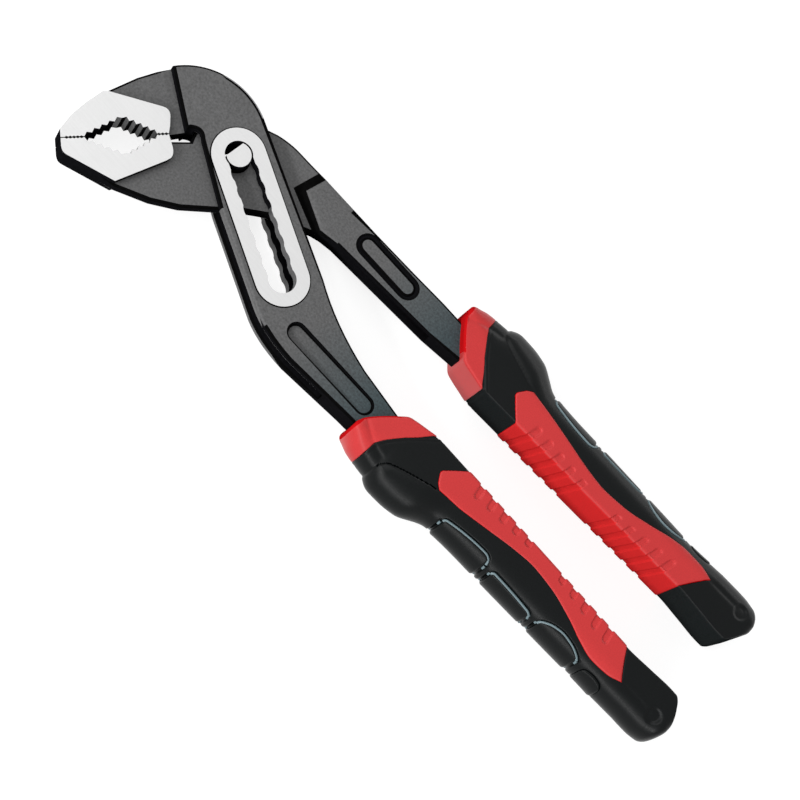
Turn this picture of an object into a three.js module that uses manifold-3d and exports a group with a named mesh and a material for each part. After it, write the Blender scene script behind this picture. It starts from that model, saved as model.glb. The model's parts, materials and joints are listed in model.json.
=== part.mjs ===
// Water pump pliers with a box joint. The inner lever passes between the two plates of the outer
// lever and hangs on a pin that slides along a scalloped slot, so the jaws can be set to 8 widths.
// Millimetres, +Z up. The pliers lie closed on the flat backs of their grips, jaws towards -X.
// Plan positions are measured from the pin's axis in its first scallop.

import * as THREE from 'three';
import { mergeVertices } from 'three/addons/utils/BufferGeometryUtils.js';
import Module from 'manifold-3d';

const wasm = await Module();
wasm.setup();

// Place of the pin in the object's frame: the origin lies under the middle of the pliers
const PIVOT_X = -84.1;
const PIVOT_Y = 4.705;

// Slot and pin
const SLOT_TURN = -24.2; // degrees, from the first scallop to the last
const SLOT_PITCH = 5.6;
const SLOT_POSITIONS = 8;
const SCALLOP_DEPTH = 0.4;
const LAND_WIDTH = 4.05; // bright ground land around the slot
const LAND_HEIGHT = 0.3;
const PIN_RADIUS = 3.8;
const PIN_FLAT = 2; // from the pin's axis to its flat
const PIN_FLAT_TURN = 176;
const SLIDE_CLEARANCE = 0.1;
const TURN_CLEARANCE = 0.3;

// Thicknesses of the forgings
const PLATE_THICKNESS = 3.4;
const TONGUE_THICKNESS = 4.4;
const TONGUE_CLEARANCE = 0.4;
const JAW_THICKNESS = 9;
const JAW_WEB_THICKNESS = 5.2;
const OUTER_SHANK_THICKNESS = 10;
const INNER_SHANK_THICKNESS = 8.6;
const TANG_THICKNESS = 7.6;

// Box of the outer lever
const BOX_RADIUS = 23.3;
const BOX_CENTRE = [-12.1, -7.65];
const BOX_ARC = [151, 68.5]; // degrees
const BOX_LOWER_EDGE = [[8.3, -15.2], [-10.3, -5]];
const BOX_NOTCH = [[-10.8, -4.6], [-13, -2.9], [-15.3, -5.4]];
const THROAT = [-15.5, -6.7];
const OUTER_SHANK_TOP = [[44, -6.4], [56, -12.8], [72, -15.5]];
const OUTER_SHANK_BOTTOM = [[55, -30.9], [43.5, -31], [36, -27.5]];
const OUTER_TAPER = [45, 80]; // the box's thickness runs out to the shank's between these
const HUB_RADIUS = 14.1; // rounded end of the tongue, about the pin
const HUB_CLEARANCE = 0.6;
const OPENING_ANGLE = 65;
const STOP_CLEARANCE_ANGLE = 4;
const CAVITY_PAST_SLOT = 33;

// Tongue and shank of the inner lever
const HUB_ARC = [209, 92]; // degrees
const TONGUE_TOP = [[2.4, 15.4], [7, 17], [12, 17]];
const TONGUE_UNDER_SHANK = [[27, 14], [34, 6]];
const TONGUE_BOTTOM = [[18.5, -4.2], [13.1, -8.9]];
const TONGUE_HEEL = [8.2, -14.4];
const STEP_FOOT = [[18, 7.9], [19.7, 17], [31.3, 2.9]]; // sloped step: corner, top and bottom
const STEP_TOP = [[20.7, 9.3], [22.1, 16.4], [32.1, 4.2]];
const INNER_SHANK_TOP = [[46, 16.6], [73, 18]];
const INNER_SHANK_BOTTOM = [38.5, 5.3];

// Mouth: measured along the line where the jaws meet, from the tip
const TIP = [-36.9, -37.1];
const MOUTH_TURN = 53.7;
const MOUTH_LENGTH = 32;
const JAW_GAP = 0.3;
const RECESS_START = 7;
const RECESS_APEX = 18.7;
const RECESS_END = 28.5;
const RECESS_DEPTH = 5.2;
const TOOTH_COUNT = 5;
const TOOTH_DEPTH = 0.9;
const SERRATION_PITCH = 1.1;
const SERRATION_DEPTH = 0.3;
const TIP_FLAT = 1.2;

// Jaws
const UPPER_FRONT = [[-39, -35.4], [-40.1, -30], [-40.2, -24]];
const UPPER_WEB_BACK = [[-16, -1], [-20, 9], [-32.3, 3.8], [-34.5, 0], [-36.8, -6], [-39.4, -16.5]];
const UPPER_PAD_END = [-19.5, -9.4];
const UPPER_PAD_CORNER = [[-21.6, -7.3], [-23.4, -5.6], [-25.4, -7.1]];
const UPPER_PAD_BACK = [[-38.8, -16.5], [-39.7, -17.7]];
const LOWER_THROAT = [-16.2, -11.6];
const LOWER_FRONT = [-34.9, -38.7];
const LOWER_FRONT_CORNER = [[-34, -39.2], [-32.9, -39.6], [-31.8, -39.1]];
const LOWER_WEB_BACK = [[-16.6, -33.9], [-6.9, -28.6], [0.2, -23.1]];
const LOWER_PAD_BACK = [[-17.3, -33.6], [-12.4, -17.4]];
const LOWER_PAD_CORNER = [[-12.2, -16.2], [-12, -14.6], [-14.3, -13.2]];

// Marks on the shanks
const PANEL_RADIUS = 2.8;
const PANEL_ENDS = [[50.2, -23.6], [78.9, -23]];
const PANEL_DEPTH = 0.6;
const GROOVE_RADIUS = 3.5;
const GROOVE_WIDTH = 0.9;
const GROOVE_ENDS = [[45, 12.2], [62, 12.4]];
const GROOVE_DEPTH = 0.5;

// Grips: u runs along the grip from the front of its collar, v from its inner wall outwards
const GRIP_THICKNESS = 17;
const GRIP_EDGE = 1; // chamfer along the inner wall
const GRIP_FLAT_SHARE = 0.45; // flat share of the grip's width, the rest is rounded
const GRIP_WIDTHS = [
  [0, 19], [4, 20.3], [9, 20.9], [14, 21], [20, 22.6], [25, 22.2], [31, 19.8], [38, 17.5],
  [60, 16.6], [85, 15.6], [105, 15], [118, 14.9], [129, 12],
];
const GRIP_END_DROP = 1.3; // how much lower the grip is at its two ends
const TAIL_START = 103;
const TAIL_FLARE = 2.3;
const GRIP_FRONT = [[0.5, 12], [9, 1.7], [13, 0.7], [20, 0]]; // slanted front, rounded into the inner wall
const GRIP_TAIL = [[123.8, -1.9], [128.2, 4.4], [128.4, 9], [127, 13]];
const COLLAR_LENGTH = 8.2;
const COLLAR_SLANT = 11.1;
const COLLAR_SLANT_WIDTH = 15.4;
const INLAY_FRONT = 33.2;
const INLAY_NOTCH = [27.2, 6.3];
const INLAY_EDGE = [[30.8, 11.2], [48, 8.2], [67, 5.2], [85, 7.7], [100, 10.7]];
const INLAY_TIP = [109.2, 8.8];
const RIB_GROUPS = [39, 74.5]; // first groove of each group
const RIB_COUNT = 5;
const RIB_PITCH = 5.1;
const RIB_WIDTH = 1.6;
const RIB_DEPTH = 0.6;
const PART_LINE = 0.3; // gap between the moulded pieces
const PAD_SPANS = [[38.5, 56.5], [58.5, 76.5], [78.5, 95.5], [97.5, 106]];
const PAD_DEPTH = 2.6;
const PAD_PROUD = 0.3;
const CORE_WALL = 1.5;
const CORE_PAST_TANG = 4;
const TANG_NECK = 9.5;
const TANG_START = 24;
const TANG_END = 108;
const TANG_INSET = 4.2;
const TANG_WIDTH = 6.6;
const TANG_TAPER = 2.2;
const SHANK_LAP = 4; // length of shank that runs on into the tang's outline

// Each grip's place and turn; entry and neck are its shank's edges at the grip and inside the collar
const OUTER_GRIP = {
  name: 'outer',
  x: 80,
  y: -13.6,
  turn: 0,
  side: -1,
  stretch: 1,
  entry: [2.4, 15.5],
  neck: [3.8, 14.8],
  shank: OUTER_SHANK_THICKNESS,
};
const INNER_GRIP = {
  name: 'inner',
  x: 80,
  y: 6.34,
  turn: 3.07,
  side: 1,
  stretch: 0.987, // the inner grip is a little shorter
  entry: [1.5, 11.9],
  neck: [2.6, 11.4],
  shank: INNER_SHANK_THICKNESS,
};

const STEEL = { color: 0x4b4c4e, roughness: 0.5, metalness: 0.8 };
const BRIGHT_STEEL = { color: 0xd8d8d8, roughness: 0.3, metalness: 0.9 };
const BLACK = { color: 0x1d2121, roughness: 0.6, metalness: 0 };
const RED = { color: 0xc43a3a, roughness: 0.55, metalness: 0 };
const CORE = { color: 0x303234, roughness: 0.6, metalness: 0 };

// Sizes that follow from the ones above
const CAVITY_THICKNESS = TONGUE_THICKNESS + 2 * TONGUE_CLEARANCE;
const BOX_THICKNESS = CAVITY_THICKNESS + 2 * PLATE_THICKNESS;
const NECK_HALF_WIDTH = PIN_RADIUS + SLIDE_CLEARANCE;
const SCALLOP_RADIUS = NECK_HALF_WIDTH + SCALLOP_DEPTH;
const LAND_RADIUS = SCALLOP_RADIUS + LAND_WIDTH;
const SLOT_TRAVEL = SLOT_PITCH * (SLOT_POSITIONS - 1);
const CORE_START = TANG_START + 2;
const CORE_END = TANG_END + CORE_PAST_TANG;
const CORE_THICKNESS = TANG_THICKNESS + 2 * (PART_LINE + CORE_WALL);
const FAR = 300; // reaches past every outline

const radians = THREE.MathUtils.degToRad;
const point = (x, y) => new THREE.Vector2(x, y);
const points = (pairs) => pairs.map(([x, y]) => point(x, y));

// Plan frame at an origin, turned, with its second axis to the left (side 1) or to the right (-1)
function planFrame(x, y, turn, side = 1) {
  const along = point(Math.cos(radians(turn)), Math.sin(radians(turn)));
  const across = point(-along.y * side, along.x * side);
  return (u, v) => point(x, y).addScaledVector(along, u).addScaledVector(across, v);
}

function gripFrame(grip) {
  const at = planFrame(grip.x, grip.y, grip.turn, grip.side);
  return (u, v) => at(u * grip.stretch, v);
}

const inSlot = planFrame(0, 0, SLOT_TURN);
const inMouth = planFrame(TIP[0], TIP[1], MOUTH_TURN);

function arc(x, y, radius, from, to, steps) {
  const clockwise = to < from;
  return new THREE.EllipseCurve(x, y, radius, radius, radians(from), radians(to), clockwise).getPoints(steps);
}

// Round stretch of an outline, given by its start, its corner and its end
function bend(corner, steps = 8) {
  return new THREE.QuadraticBezierCurve(...points(corner)).getPoints(steps);
}

function circle(centre, radius, steps) {
  return arc(centre.x, centre.y, radius, 0, 360, steps).slice(0, -1);
}

// Long hole outline between two ends
function obround(from, to, radius, steps) {
  const turn = THREE.MathUtils.radToDeg(Math.atan2(to.y - from.y, to.x - from.x));
  return [
    ...arc(to.x, to.y, radius, turn - 90, turn + 90, steps),
    ...arc(from.x, from.y, radius, turn + 90, turn + 270, steps),
  ];
}

function solid(geometry) {
  geometry.deleteAttribute('normal');
  geometry.deleteAttribute('uv');
  const merged = mergeVertices(geometry, 1e-4);
  return new wasm.Manifold(new wasm.Mesh({
    numProp: 3,
    vertProperties: new Float32Array(merged.attributes.position.array),
    triVerts: new Uint32Array(merged.index.array),
  }));
}

function slab(outline, low, high) {
  const depth = high - low;
  const geometry = new THREE.ExtrudeGeometry(new THREE.Shape(outline), { depth, bevelEnabled: false });
  return solid(geometry.translate(0, 0, low));
}

const plate = (outline, thickness) => slab(outline, -thickness / 2, thickness / 2);

const pliers = new THREE.Group();
pliers.position.set(PIVOT_X, PIVOT_Y, GRIP_THICKNESS / 2);

function addPart(name, body, finish) {
  const { vertProperties, triVerts } = body.getMesh();
  const geometry = new THREE.BufferGeometry();
  geometry.setAttribute('position', new THREE.BufferAttribute(new Float32Array(vertProperties), 3));
  geometry.setIndex(new THREE.BufferAttribute(new Uint32Array(triVerts), 1));
  geometry.computeVertexNormals();
  const mesh = new THREE.Mesh(geometry, new THREE.MeshStandardMaterial(finish));
  mesh.name = name;
  pliers.add(mesh);
}

// Fine teeth on a flat of a jaw's edge
function serrations(from, to, flat, side) {
  const count = Math.floor((to - from) / SERRATION_PITCH);
  const edge = [inMouth(from, flat)];
  for (let tooth = 0; tooth < count; tooth += 1) {
    const root = from + (tooth + 0.5) * SERRATION_PITCH;
    edge.push(inMouth(root, flat + side * SERRATION_DEPTH), inMouth(root + SERRATION_PITCH / 2, flat));
  }
  return edge;
}

// Edge of one jaw from the tip to the throat, with its teeth: side 1 is the upper jaw, -1 the lower
function jawEdge(side) {
  const flat = side * JAW_GAP / 2;
  const corners = [[RECESS_START, 0], [RECESS_APEX, RECESS_DEPTH], [RECESS_END, 0]];
  const edge = [inMouth(0, flat)];
  edge.push(...serrations(TIP_FLAT, RECESS_START, flat, side), inMouth(RECESS_START, flat));
  for (let flank = 0; flank < 2; flank += 1) {
    const from = point(...corners[flank]);
    const to = point(...corners[flank + 1]);
    const along = to.clone().sub(from);
    const out = point(-along.y, along.x).setLength(TOOTH_DEPTH);
    for (let tooth = 0; tooth < TOOTH_COUNT; tooth += 1) {
      const root = from.clone().addScaledVector(along, (tooth + 0.5) / TOOTH_COUNT).add(out);
      const crest = from.clone().addScaledVector(along, (tooth + 1) / TOOTH_COUNT);
      edge.push(inMouth(root.x, flat + side * root.y), inMouth(crest.x, flat + side * crest.y));
    }
  }
  edge.push(...serrations(RECESS_END, MOUTH_LENGTH, flat, side).slice(1), inMouth(MOUTH_LENGTH, flat));
  return edge;
}

function upperJaw() {
  const edge = jawEdge(1);
  const front = points(UPPER_FRONT).toReversed();
  const web = [...edge, point(...THROAT), ...points(UPPER_WEB_BACK), ...front];
  const pad = [
    ...edge, point(...UPPER_PAD_END), ...bend(UPPER_PAD_CORNER), ...points(UPPER_PAD_BACK), ...front,
  ];
  return plate(web, JAW_WEB_THICKNESS).add(plate(pad, JAW_THICKNESS));
}

function lowerJaw() {
  const edge = jawEdge(-1).toReversed();
  const front = point(...LOWER_FRONT);
  const web = [
    ...edge, front, ...points(LOWER_WEB_BACK), point(...TONGUE_HEEL), point(0, 0),
    ...arc(0, 0, HUB_RADIUS, 180, HUB_ARC[0], 8), point(...LOWER_THROAT),
  ];
  const pad = [
    ...edge, front, ...bend(LOWER_FRONT_CORNER), ...points(LOWER_PAD_BACK), ...bend(LOWER_PAD_CORNER),
  ];
  return plate(web, TONGUE_THICKNESS).add(plate(pad, JAW_THICKNESS));
}

function slotOutline() {
  const outline = [];
  const reach = THREE.MathUtils.radToDeg(Math.acos(NECK_HALF_WIDTH / SCALLOP_RADIUS));
  for (let side = 1; side >= -1; side -= 2) {
    for (let step = 0; step < SLOT_POSITIONS; step += 1) {
      const at = side > 0 ? step : SLOT_POSITIONS - 1 - step;
      const centre = inSlot(at * SLOT_PITCH, 0);
      const middle = SLOT_TURN + 90 * side;
      const from = step === 0 ? middle + 90 : middle + reach;
      const to = step === SLOT_POSITIONS - 1 ? middle - 90 : middle - reach;
      const steps = step % (SLOT_POSITIONS - 1) ? 6 : 14;
      outline.push(...arc(centre.x, centre.y, SCALLOP_RADIUS, from, to, steps));
    }
  }
  return outline;
}

// Space between the plates: it clears the tongue through the hinge's turn and the slot's travel
function cavityOutline() {
  const limit = 90 + OPENING_ANGLE + STOP_CLEARANCE_ANGLE;
  const radius = HUB_RADIUS + HUB_CLEARANCE;
  const stop = planFrame(0, 0, limit);
  const end = inSlot(SLOT_TRAVEL, 0).x + CAVITY_PAST_SLOT;
  return [
    ...arc(0, 0, radius, limit, 225, 12),
    point(0, -FAR),
    point(end, -FAR),
    point(end, FAR),
    stop(FAR, 0),
  ];
}

// Side view of a forging from its head to its tang, as a band along X that trims its thickness
function thicknessBand(stations) {
  const top = points(stations.map(([x, thickness]) => [x, thickness / 2]));
  const bottom = top.map((p) => point(p.x, -p.y)).toReversed();
  const side = new THREE.Shape([...top, ...bottom]);
  const geometry = new THREE.ExtrudeGeometry(side, { depth: 2 * FAR, bevelEnabled: false });
  return solid(geometry.translate(0, 0, -FAR).rotateX(Math.PI / 2));
}

// Tang of a lever inside its grip; grow widens it into the hole that takes it
function tang(grip, grow = 0) {
  const at = gripFrame(grip);
  const root = [
    [-SHANK_LAP, grip.entry[0] - grow], [TANG_NECK, grip.neck[0] - grow],
    [TANG_START + grow, TANG_INSET - grow], [TANG_START + grow, TANG_INSET + TANG_WIDTH + grow],
    [TANG_NECK, grip.neck[1] + grow], [-SHANK_LAP, grip.entry[1] + grow],
  ];
  const bar = [
    [TANG_NECK, TANG_INSET - grow], [TANG_END + grow, TANG_INSET - grow],
    [TANG_END + grow, TANG_INSET + TANG_WIDTH - TANG_TAPER + grow],
    [TANG_NECK, TANG_INSET + TANG_WIDTH + grow],
  ];
  const outline = (pairs) => pairs.map(([u, v]) => at(u, v));
  return plate(outline(root), grip.shank + 2 * grow).add(plate(outline(bar), TANG_THICKNESS + 2 * grow));
}

const shankEnd = (grip) => grip.entry.map((v) => gripFrame(grip)(1 - SHANK_LAP, v));

function outerLever() {
  const [x, y] = BOX_CENTRE;
  const outline = [
    ...arc(x, y, BOX_RADIUS, BOX_ARC[0], BOX_ARC[1], 28),
    ...bend(OUTER_SHANK_TOP),
    ...shankEnd(OUTER_GRIP),
    ...bend(OUTER_SHANK_BOTTOM),
    ...points(BOX_LOWER_EDGE),
    ...bend(BOX_NOTCH),
    point(...THROAT),
  ];
  const taper = thicknessBand([
    [-FAR, BOX_THICKNESS], [OUTER_TAPER[0], BOX_THICKNESS],
    [OUTER_TAPER[1], OUTER_SHANK_THICKNESS], [FAR, OUTER_SHANK_THICKNESS],
  ]);
  const land = obround(inSlot(0, 0), inSlot(SLOT_TRAVEL, 0), LAND_RADIUS, 24);
  const [from, to] = points(PANEL_ENDS);
  const panel = obround(from, to, PANEL_RADIUS, 12);
  const panelFloor = OUTER_SHANK_THICKNESS / 2 - PANEL_DEPTH;
  return plate(outline, BOX_THICKNESS)
    .intersect(taper)
    .add(plate(land, BOX_THICKNESS + 2 * LAND_HEIGHT))
    .subtract(plate(cavityOutline(), CAVITY_THICKNESS))
    .add(upperJaw())
    .subtract(plate(slotOutline(), 2 * BOX_THICKNESS))
    .add(tang(OUTER_GRIP))
    .subtract(slab(panel, panelFloor, BOX_THICKNESS));
}

// Shank of the inner lever, whose sloped step rises from both faces of the tongue
function innerShank() {
  const back = [
    ...bend([STEP_TOP[1], ...INNER_SHANK_TOP]).slice(1),
    ...shankEnd(INNER_GRIP).toReversed(),
    point(...INNER_SHANK_BOTTOM),
  ];
  const ring = (step, z) => {
    const [corner, top, bottom] = points(step);
    return [corner, top, ...back, bottom].map((p) => new THREE.Vector3(p.x, p.y, z));
  };
  const half = INNER_SHANK_THICKNESS / 2;
  const face = TONGUE_THICKNESS / 2;
  const levels = [[STEP_TOP, -half], [STEP_FOOT, -face], [STEP_FOOT, face], [STEP_TOP, half]];
  return loft(levels.map(([step, z]) => ring(step, z)));
}

function innerLever() {
  const [, stepTop, stepBottom] = points(STEP_FOOT);
  const tongue = plate([
    ...arc(0, 0, HUB_RADIUS, HUB_ARC[0], HUB_ARC[1], 24),
    ...bend(TONGUE_TOP),
    stepTop,
    ...points(TONGUE_UNDER_SHANK),
    stepBottom,
    ...points(TONGUE_BOTTOM),
    point(...TONGUE_HEEL),
  ], TONGUE_THICKNESS);
  const [from, to] = points(GROOVE_ENDS);
  const top = INNER_SHANK_THICKNESS / 2;
  const ring = slab(obround(from, to, GROOVE_RADIUS, 12), top - GROOVE_DEPTH, 2 * top)
    .subtract(slab(obround(from, to, GROOVE_RADIUS - GROOVE_WIDTH, 12), 0, 3 * top));
  return tongue
    .add(lowerJaw())
    .add(innerShank().subtract(ring))
    .add(tang(INNER_GRIP))
    .subtract(plate(circle(point(0, 0), PIN_RADIUS + TURN_CLEARANCE, 48), 2 * BOX_THICKNESS));
}

function pivotPin() {
  const reach = THREE.MathUtils.radToDeg(Math.acos(PIN_FLAT / PIN_RADIUS));
  const round = arc(0, 0, PIN_RADIUS, PIN_FLAT_TURN + reach, PIN_FLAT_TURN + 360 - reach, 40);
  return plate(round, BOX_THICKNESS + 2 * LAND_HEIGHT);
}

// Width of a grip at a place along it
function gripWidth(u) {
  const next = GRIP_WIDTHS.findIndex(([at]) => at >= u);
  const [u1, w1] = GRIP_WIDTHS[Math.max(next, 1)];
  const [u0, w0] = GRIP_WIDTHS[Math.max(next, 1) - 1];
  return THREE.MathUtils.mapLinear(u, u0, u1, w0, w1);
}

// Outer form of a grip: a flat inner wall, flat faces and a rounded outer side, proud by a little
function gripForm(grip, proud = 0) {
  const at = gripFrame(grip);
  const last = GRIP_WIDTHS[GRIP_WIDTHS.length - 1][0];
  const rings = GRIP_WIDTHS.map(([u, width]) => {
    const inner = -TAIL_FLARE * Math.max(0, (u - TAIL_START) / (last - TAIL_START));
    const half = GRIP_THICKNESS / 2 - (u === 0 || u === last ? GRIP_END_DROP : 0);
    const flat = inner + GRIP_FLAT_SHARE * width;
    const bulge = width + proud - flat;
    const round = new THREE.EllipseCurve(flat, 0, bulge, half, Math.PI / 2, -Math.PI / 2, true);
    const section = [
      point(inner, GRIP_EDGE - half), point(inner, half - GRIP_EDGE), point(inner + GRIP_EDGE, half),
      ...round.getPoints(12), point(inner + GRIP_EDGE, -half),
    ];
    return section.map((p) => new THREE.Vector3(...at(u, p.x).toArray(), p.y));
  });
  return loft(rings, grip.side < 0);
}

// Closed solid through like rings of points, with flat ends
function loft(rings, flipped = false) {
  const count = rings[0].length;
  const faces = [];
  for (let ring = 0; ring + 1 < rings.length; ring += 1) {
    for (let i = 0; i < count; i += 1) {
      const a = ring * count + i;
      const b = ring * count + ((i + 1) % count);
      faces.push([a, a + count, b], [b, a + count, b + count]);
    }
  }
  const end = (rings.length - 1) * count;
  for (let i = 1; i + 1 < count; i += 1) {
    faces.push([0, i, i + 1], [end, end + i + 1, end + i]);
  }
  const geometry = new THREE.BufferGeometry().setFromPoints(rings.flat());
  geometry.setIndex(faces.flatMap(([a, b, c]) => (flipped ? [a, c, b] : [a, b, c])));
  return solid(geometry);
}

// Zones in plan that part the moulding; gap widens a zone into the space left for its piece
function collarZone(gap) {
  const back = COLLAR_LENGTH + gap;
  return [
    [back, FAR], [back, COLLAR_SLANT_WIDTH], [back + COLLAR_SLANT, 0], [back + COLLAR_SLANT, -FAR],
    [-FAR, -FAR], [-FAR, FAR],
  ];
}

function inlayZone(gap) {
  const edge = new THREE.SplineCurve(points(INLAY_EDGE)).getPoints(14);
  return [
    [INLAY_FRONT - gap, -FAR], [INLAY_FRONT - gap, 0], [INLAY_NOTCH[0] - 1.4 * gap, INLAY_NOTCH[1]],
    ...edge.map((p) => [p.x, p.y + gap]),
    [INLAY_TIP[0] + 1.4 * gap, INLAY_TIP[1]], [TAIL_START + gap, 0], [TAIL_START + gap, -FAR],
  ];
}

function padZone([from, to], gap) {
  const depth = PAD_DEPTH + gap;
  return [
    [from - gap, gripWidth(from) - depth], [to + gap, gripWidth(to) - depth],
    [to + gap, FAR], [from - gap, FAR],
  ];
}

function coreOutline(gap) {
  const wall = PART_LINE + CORE_WALL + gap;
  const outer = TANG_INSET + TANG_WIDTH + wall;
  return [
    [CORE_START - gap, TANG_INSET - wall], [CORE_END + gap, TANG_INSET - wall],
    [CORE_END + gap, outer - TANG_TAPER], [CORE_START - gap, outer],
  ];
}

function gripParts(grip) {
  const at = gripFrame(grip);
  const place = (pairs) => pairs.map(([u, v]) => at(u, v));
  const zone = (pairs) => plate(place(pairs), 2 * GRIP_THICKNESS);
  const core = (gap) => plate(place(coreOutline(gap)), CORE_THICKNESS + 2 * gap);
  const past = INLAY_FRONT - PART_LINE;
  const plan = zone([
    ...GRIP_FRONT, [past, -GRIP_EDGE], [past, -FAR], [GRIP_TAIL[0][0] + GRIP_EDGE, -FAR],
    ...GRIP_TAIL, [GRIP_TAIL[0][0], FAR], [GRIP_FRONT[0][0], FAR],
  ]);
  const tangHole = tang(grip, PART_LINE);
  const moulding = gripForm(grip).intersect(plan).subtract(tangHole).subtract(core(PART_LINE));
  const proudForm = gripForm(grip, PAD_PROUD).intersect(plan);

  let shell = moulding.subtract(zone(collarZone(PART_LINE))).subtract(zone(inlayZone(PART_LINE)));
  PAD_SPANS.forEach((span, index) => {
    shell = shell.subtract(zone(padZone(span, PART_LINE)));
    addPart(`${grip.name}_finger_pad_${index + 1}`, proudForm.intersect(zone(padZone(span, 0))), BLACK);
  });
  let inlay = moulding.intersect(zone(inlayZone(0)));
  for (const first of RIB_GROUPS) {
    for (let rib = 0; rib < RIB_COUNT; rib += 1) {
      const u = first + rib * RIB_PITCH;
      const half = RIB_WIDTH / 2;
      inlay = inlay.subtract(zone([[u - half, -RIB_DEPTH], [u + half, -RIB_DEPTH], [u, RIB_DEPTH]]));
    }
  }
  addPart(`${grip.name}_grip_shell`, shell, BLACK);
  addPart(`${grip.name}_grip_collar`, moulding.intersect(zone(collarZone(0))), RED);
  addPart(`${grip.name}_grip_inlay`, inlay, RED);
  addPart(`${grip.name}_grip_core`, core(0).subtract(tangHole), CORE);
}

addPart('outer_lever', outerLever(), STEEL);
addPart('inner_lever', innerLever(), STEEL);
addPart('pivot_pin', pivotPin(), BRIGHT_STEEL);
gripParts(OUTER_GRIP);
gripParts(INNER_GRIP);

export default pliers;
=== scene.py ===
"""Water pump pliers: blackened and ground steel levers on a box joint, with two-colour moulded grips."""

import json
import math

import bmesh
import bpy
import numpy as np
from bpy.props import FloatProperty, FloatVectorProperty, IntProperty, PointerProperty
from mathutils import Matrix, Vector


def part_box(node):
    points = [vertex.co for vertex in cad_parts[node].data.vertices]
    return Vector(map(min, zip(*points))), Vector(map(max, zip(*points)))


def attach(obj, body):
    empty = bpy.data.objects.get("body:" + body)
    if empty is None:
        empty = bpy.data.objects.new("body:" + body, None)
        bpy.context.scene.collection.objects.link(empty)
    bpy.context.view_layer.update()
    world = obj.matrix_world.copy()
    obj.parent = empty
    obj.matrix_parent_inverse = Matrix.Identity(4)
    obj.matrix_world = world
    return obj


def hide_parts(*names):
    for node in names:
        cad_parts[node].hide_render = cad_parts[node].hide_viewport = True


bl_info = {
    "name": "Water Pump Pliers",
    "version": (1, 0, 0),
    "blender": (4, 5, 0),
    "location": "View3D > Sidebar > Pliers",
    "description": "Steel finishes, moulded grips and a studio stage for a pair of water pump pliers",
    "category": "Object",
}

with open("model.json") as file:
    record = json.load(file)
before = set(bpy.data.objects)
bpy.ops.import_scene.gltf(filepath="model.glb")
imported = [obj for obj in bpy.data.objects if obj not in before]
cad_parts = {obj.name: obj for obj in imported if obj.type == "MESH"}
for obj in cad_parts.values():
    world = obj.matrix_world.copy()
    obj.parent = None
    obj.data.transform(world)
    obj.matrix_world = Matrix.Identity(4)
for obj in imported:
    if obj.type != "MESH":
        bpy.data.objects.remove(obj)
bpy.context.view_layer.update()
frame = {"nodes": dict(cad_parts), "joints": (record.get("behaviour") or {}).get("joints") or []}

MM = 0.001
HINGE = next(joint for joint in frame["joints"] if joint["name"] == "jaw_hinge")
SLIDE = next(joint for joint in frame["joints"] if joint["name"] == "slot_slide")
PIVOT = np.array(HINGE["pos_m"]) / MM
SLOT_AXIS = np.array(SLIDE["axis"][:2])
SLOT_TRAVEL = SLIDE["range_m"][1] / MM

# Levels of the forgings' faces above and below their mid-plane, in millimetres
PAD_LEVEL = (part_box("inner_lever")[1].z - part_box("inner_lever")[0].z) / 2 / MM
LAND_LEVEL = (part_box("outer_lever")[1].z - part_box("outer_lever")[0].z) / 2 / MM
GROOVE_LEVEL = 3.8
BOX_EDGE_LEVEL = 3.7
CAVITY_LEVEL = 3.2
STEP_LEVEL = 3
LEVEL_SLACK = 0.04

# Parts of a unit normal: upright ones that tell flat faces from slopes and slopes from walls, and one along x
# below which a slope takes painted shade
FLAT_NORMAL = 0.97
WALL_NORMAL = 0.2
STEP_DARK = -0.25

# Finishes of the forgings, in the order of their materials. WALL is blackened steel darkened with painted
# shade, EDGE_SHADE is painted shade and EDGE_HIGHLIGHT a pale painted highlight. PLAIN_RIM is a rim that
# takes the face's finish.
FACE, WALL, GROUND, SLOT, EDGE_SHADE, EDGE_HIGHLIGHT, PLAIN_RIM = range(7)

# Regions of the forgings, in millimetres from the pin's axis: along x, or along and from the slot
SLOT_WALL_REACH = 4.6
CAVITY_REACH = 9
# Along the slot up to here its walls take the dark wall finish as painted shadow
SLOT_SHADOW_END = 17.5
BACK_SWELL = (-33, -16)
BACK_EBB = (12, 46)
BOX_WALLS = (-8, 45)
SHANK_END = 70
CHEEK = (14.2, 51)
CHEEK_WALL_END = 55
CHEEK_WALL_TAPER = 1.25
STEP = (10, 36)
# Along x, up to here the back's broad edge takes the pale painted highlight
HIGHLIGHT_END = 3
MOUTH_TIP = np.array([-36.9, -37.1])
MOUTH_ALONG = Vector((math.cos(math.radians(53.7)), math.sin(math.radians(53.7))))
MOUTH_MIDDLE = 16.5
MOUTH_REACH = 7
MOUTH_SLACK = 0.6

# Rounded edges: shares of the edge radius, and inset and drop of each ring as shares of the edge's width
# Share of the back's broad edge past which its lower rings take the pale painted highlight
HIGHLIGHT_SHARE = 0.3
BACK_SINK = 0.5
PLAIN_EDGE = 0.6
STEP_EDGE = 2
STEP_SINK = 0.3
# Width of the flat strip of painted shadow at the foot of a step, as a share of the edge radius
FOOT_SHADOW = 0.4
HAIRLINE = 1e-3
MITRE_LIMIT = 0.4
PLAIN_PROFILE = [(1, 0), (0.5, 0.134), (0.134, 0.5)]
BACK_PROFILE = [(1, 0), (0.42, 0.12), (0.12, 0.25)]
BROAD_AREA = 60
# Width in millimetres of the strip of painted shadow round what stands on a face
SHADOW_LINE_WIDTH = 0.36

# Cleaning of the forgings' meshes, in metres and radians
MERGE_DISTANCE = 1e-6
TANG_MERGE_DISTANCE = 0.25 * MM
FLAT_ANGLE = math.radians(0.5)
SHARP_ANGLE = math.radians(34)

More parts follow.
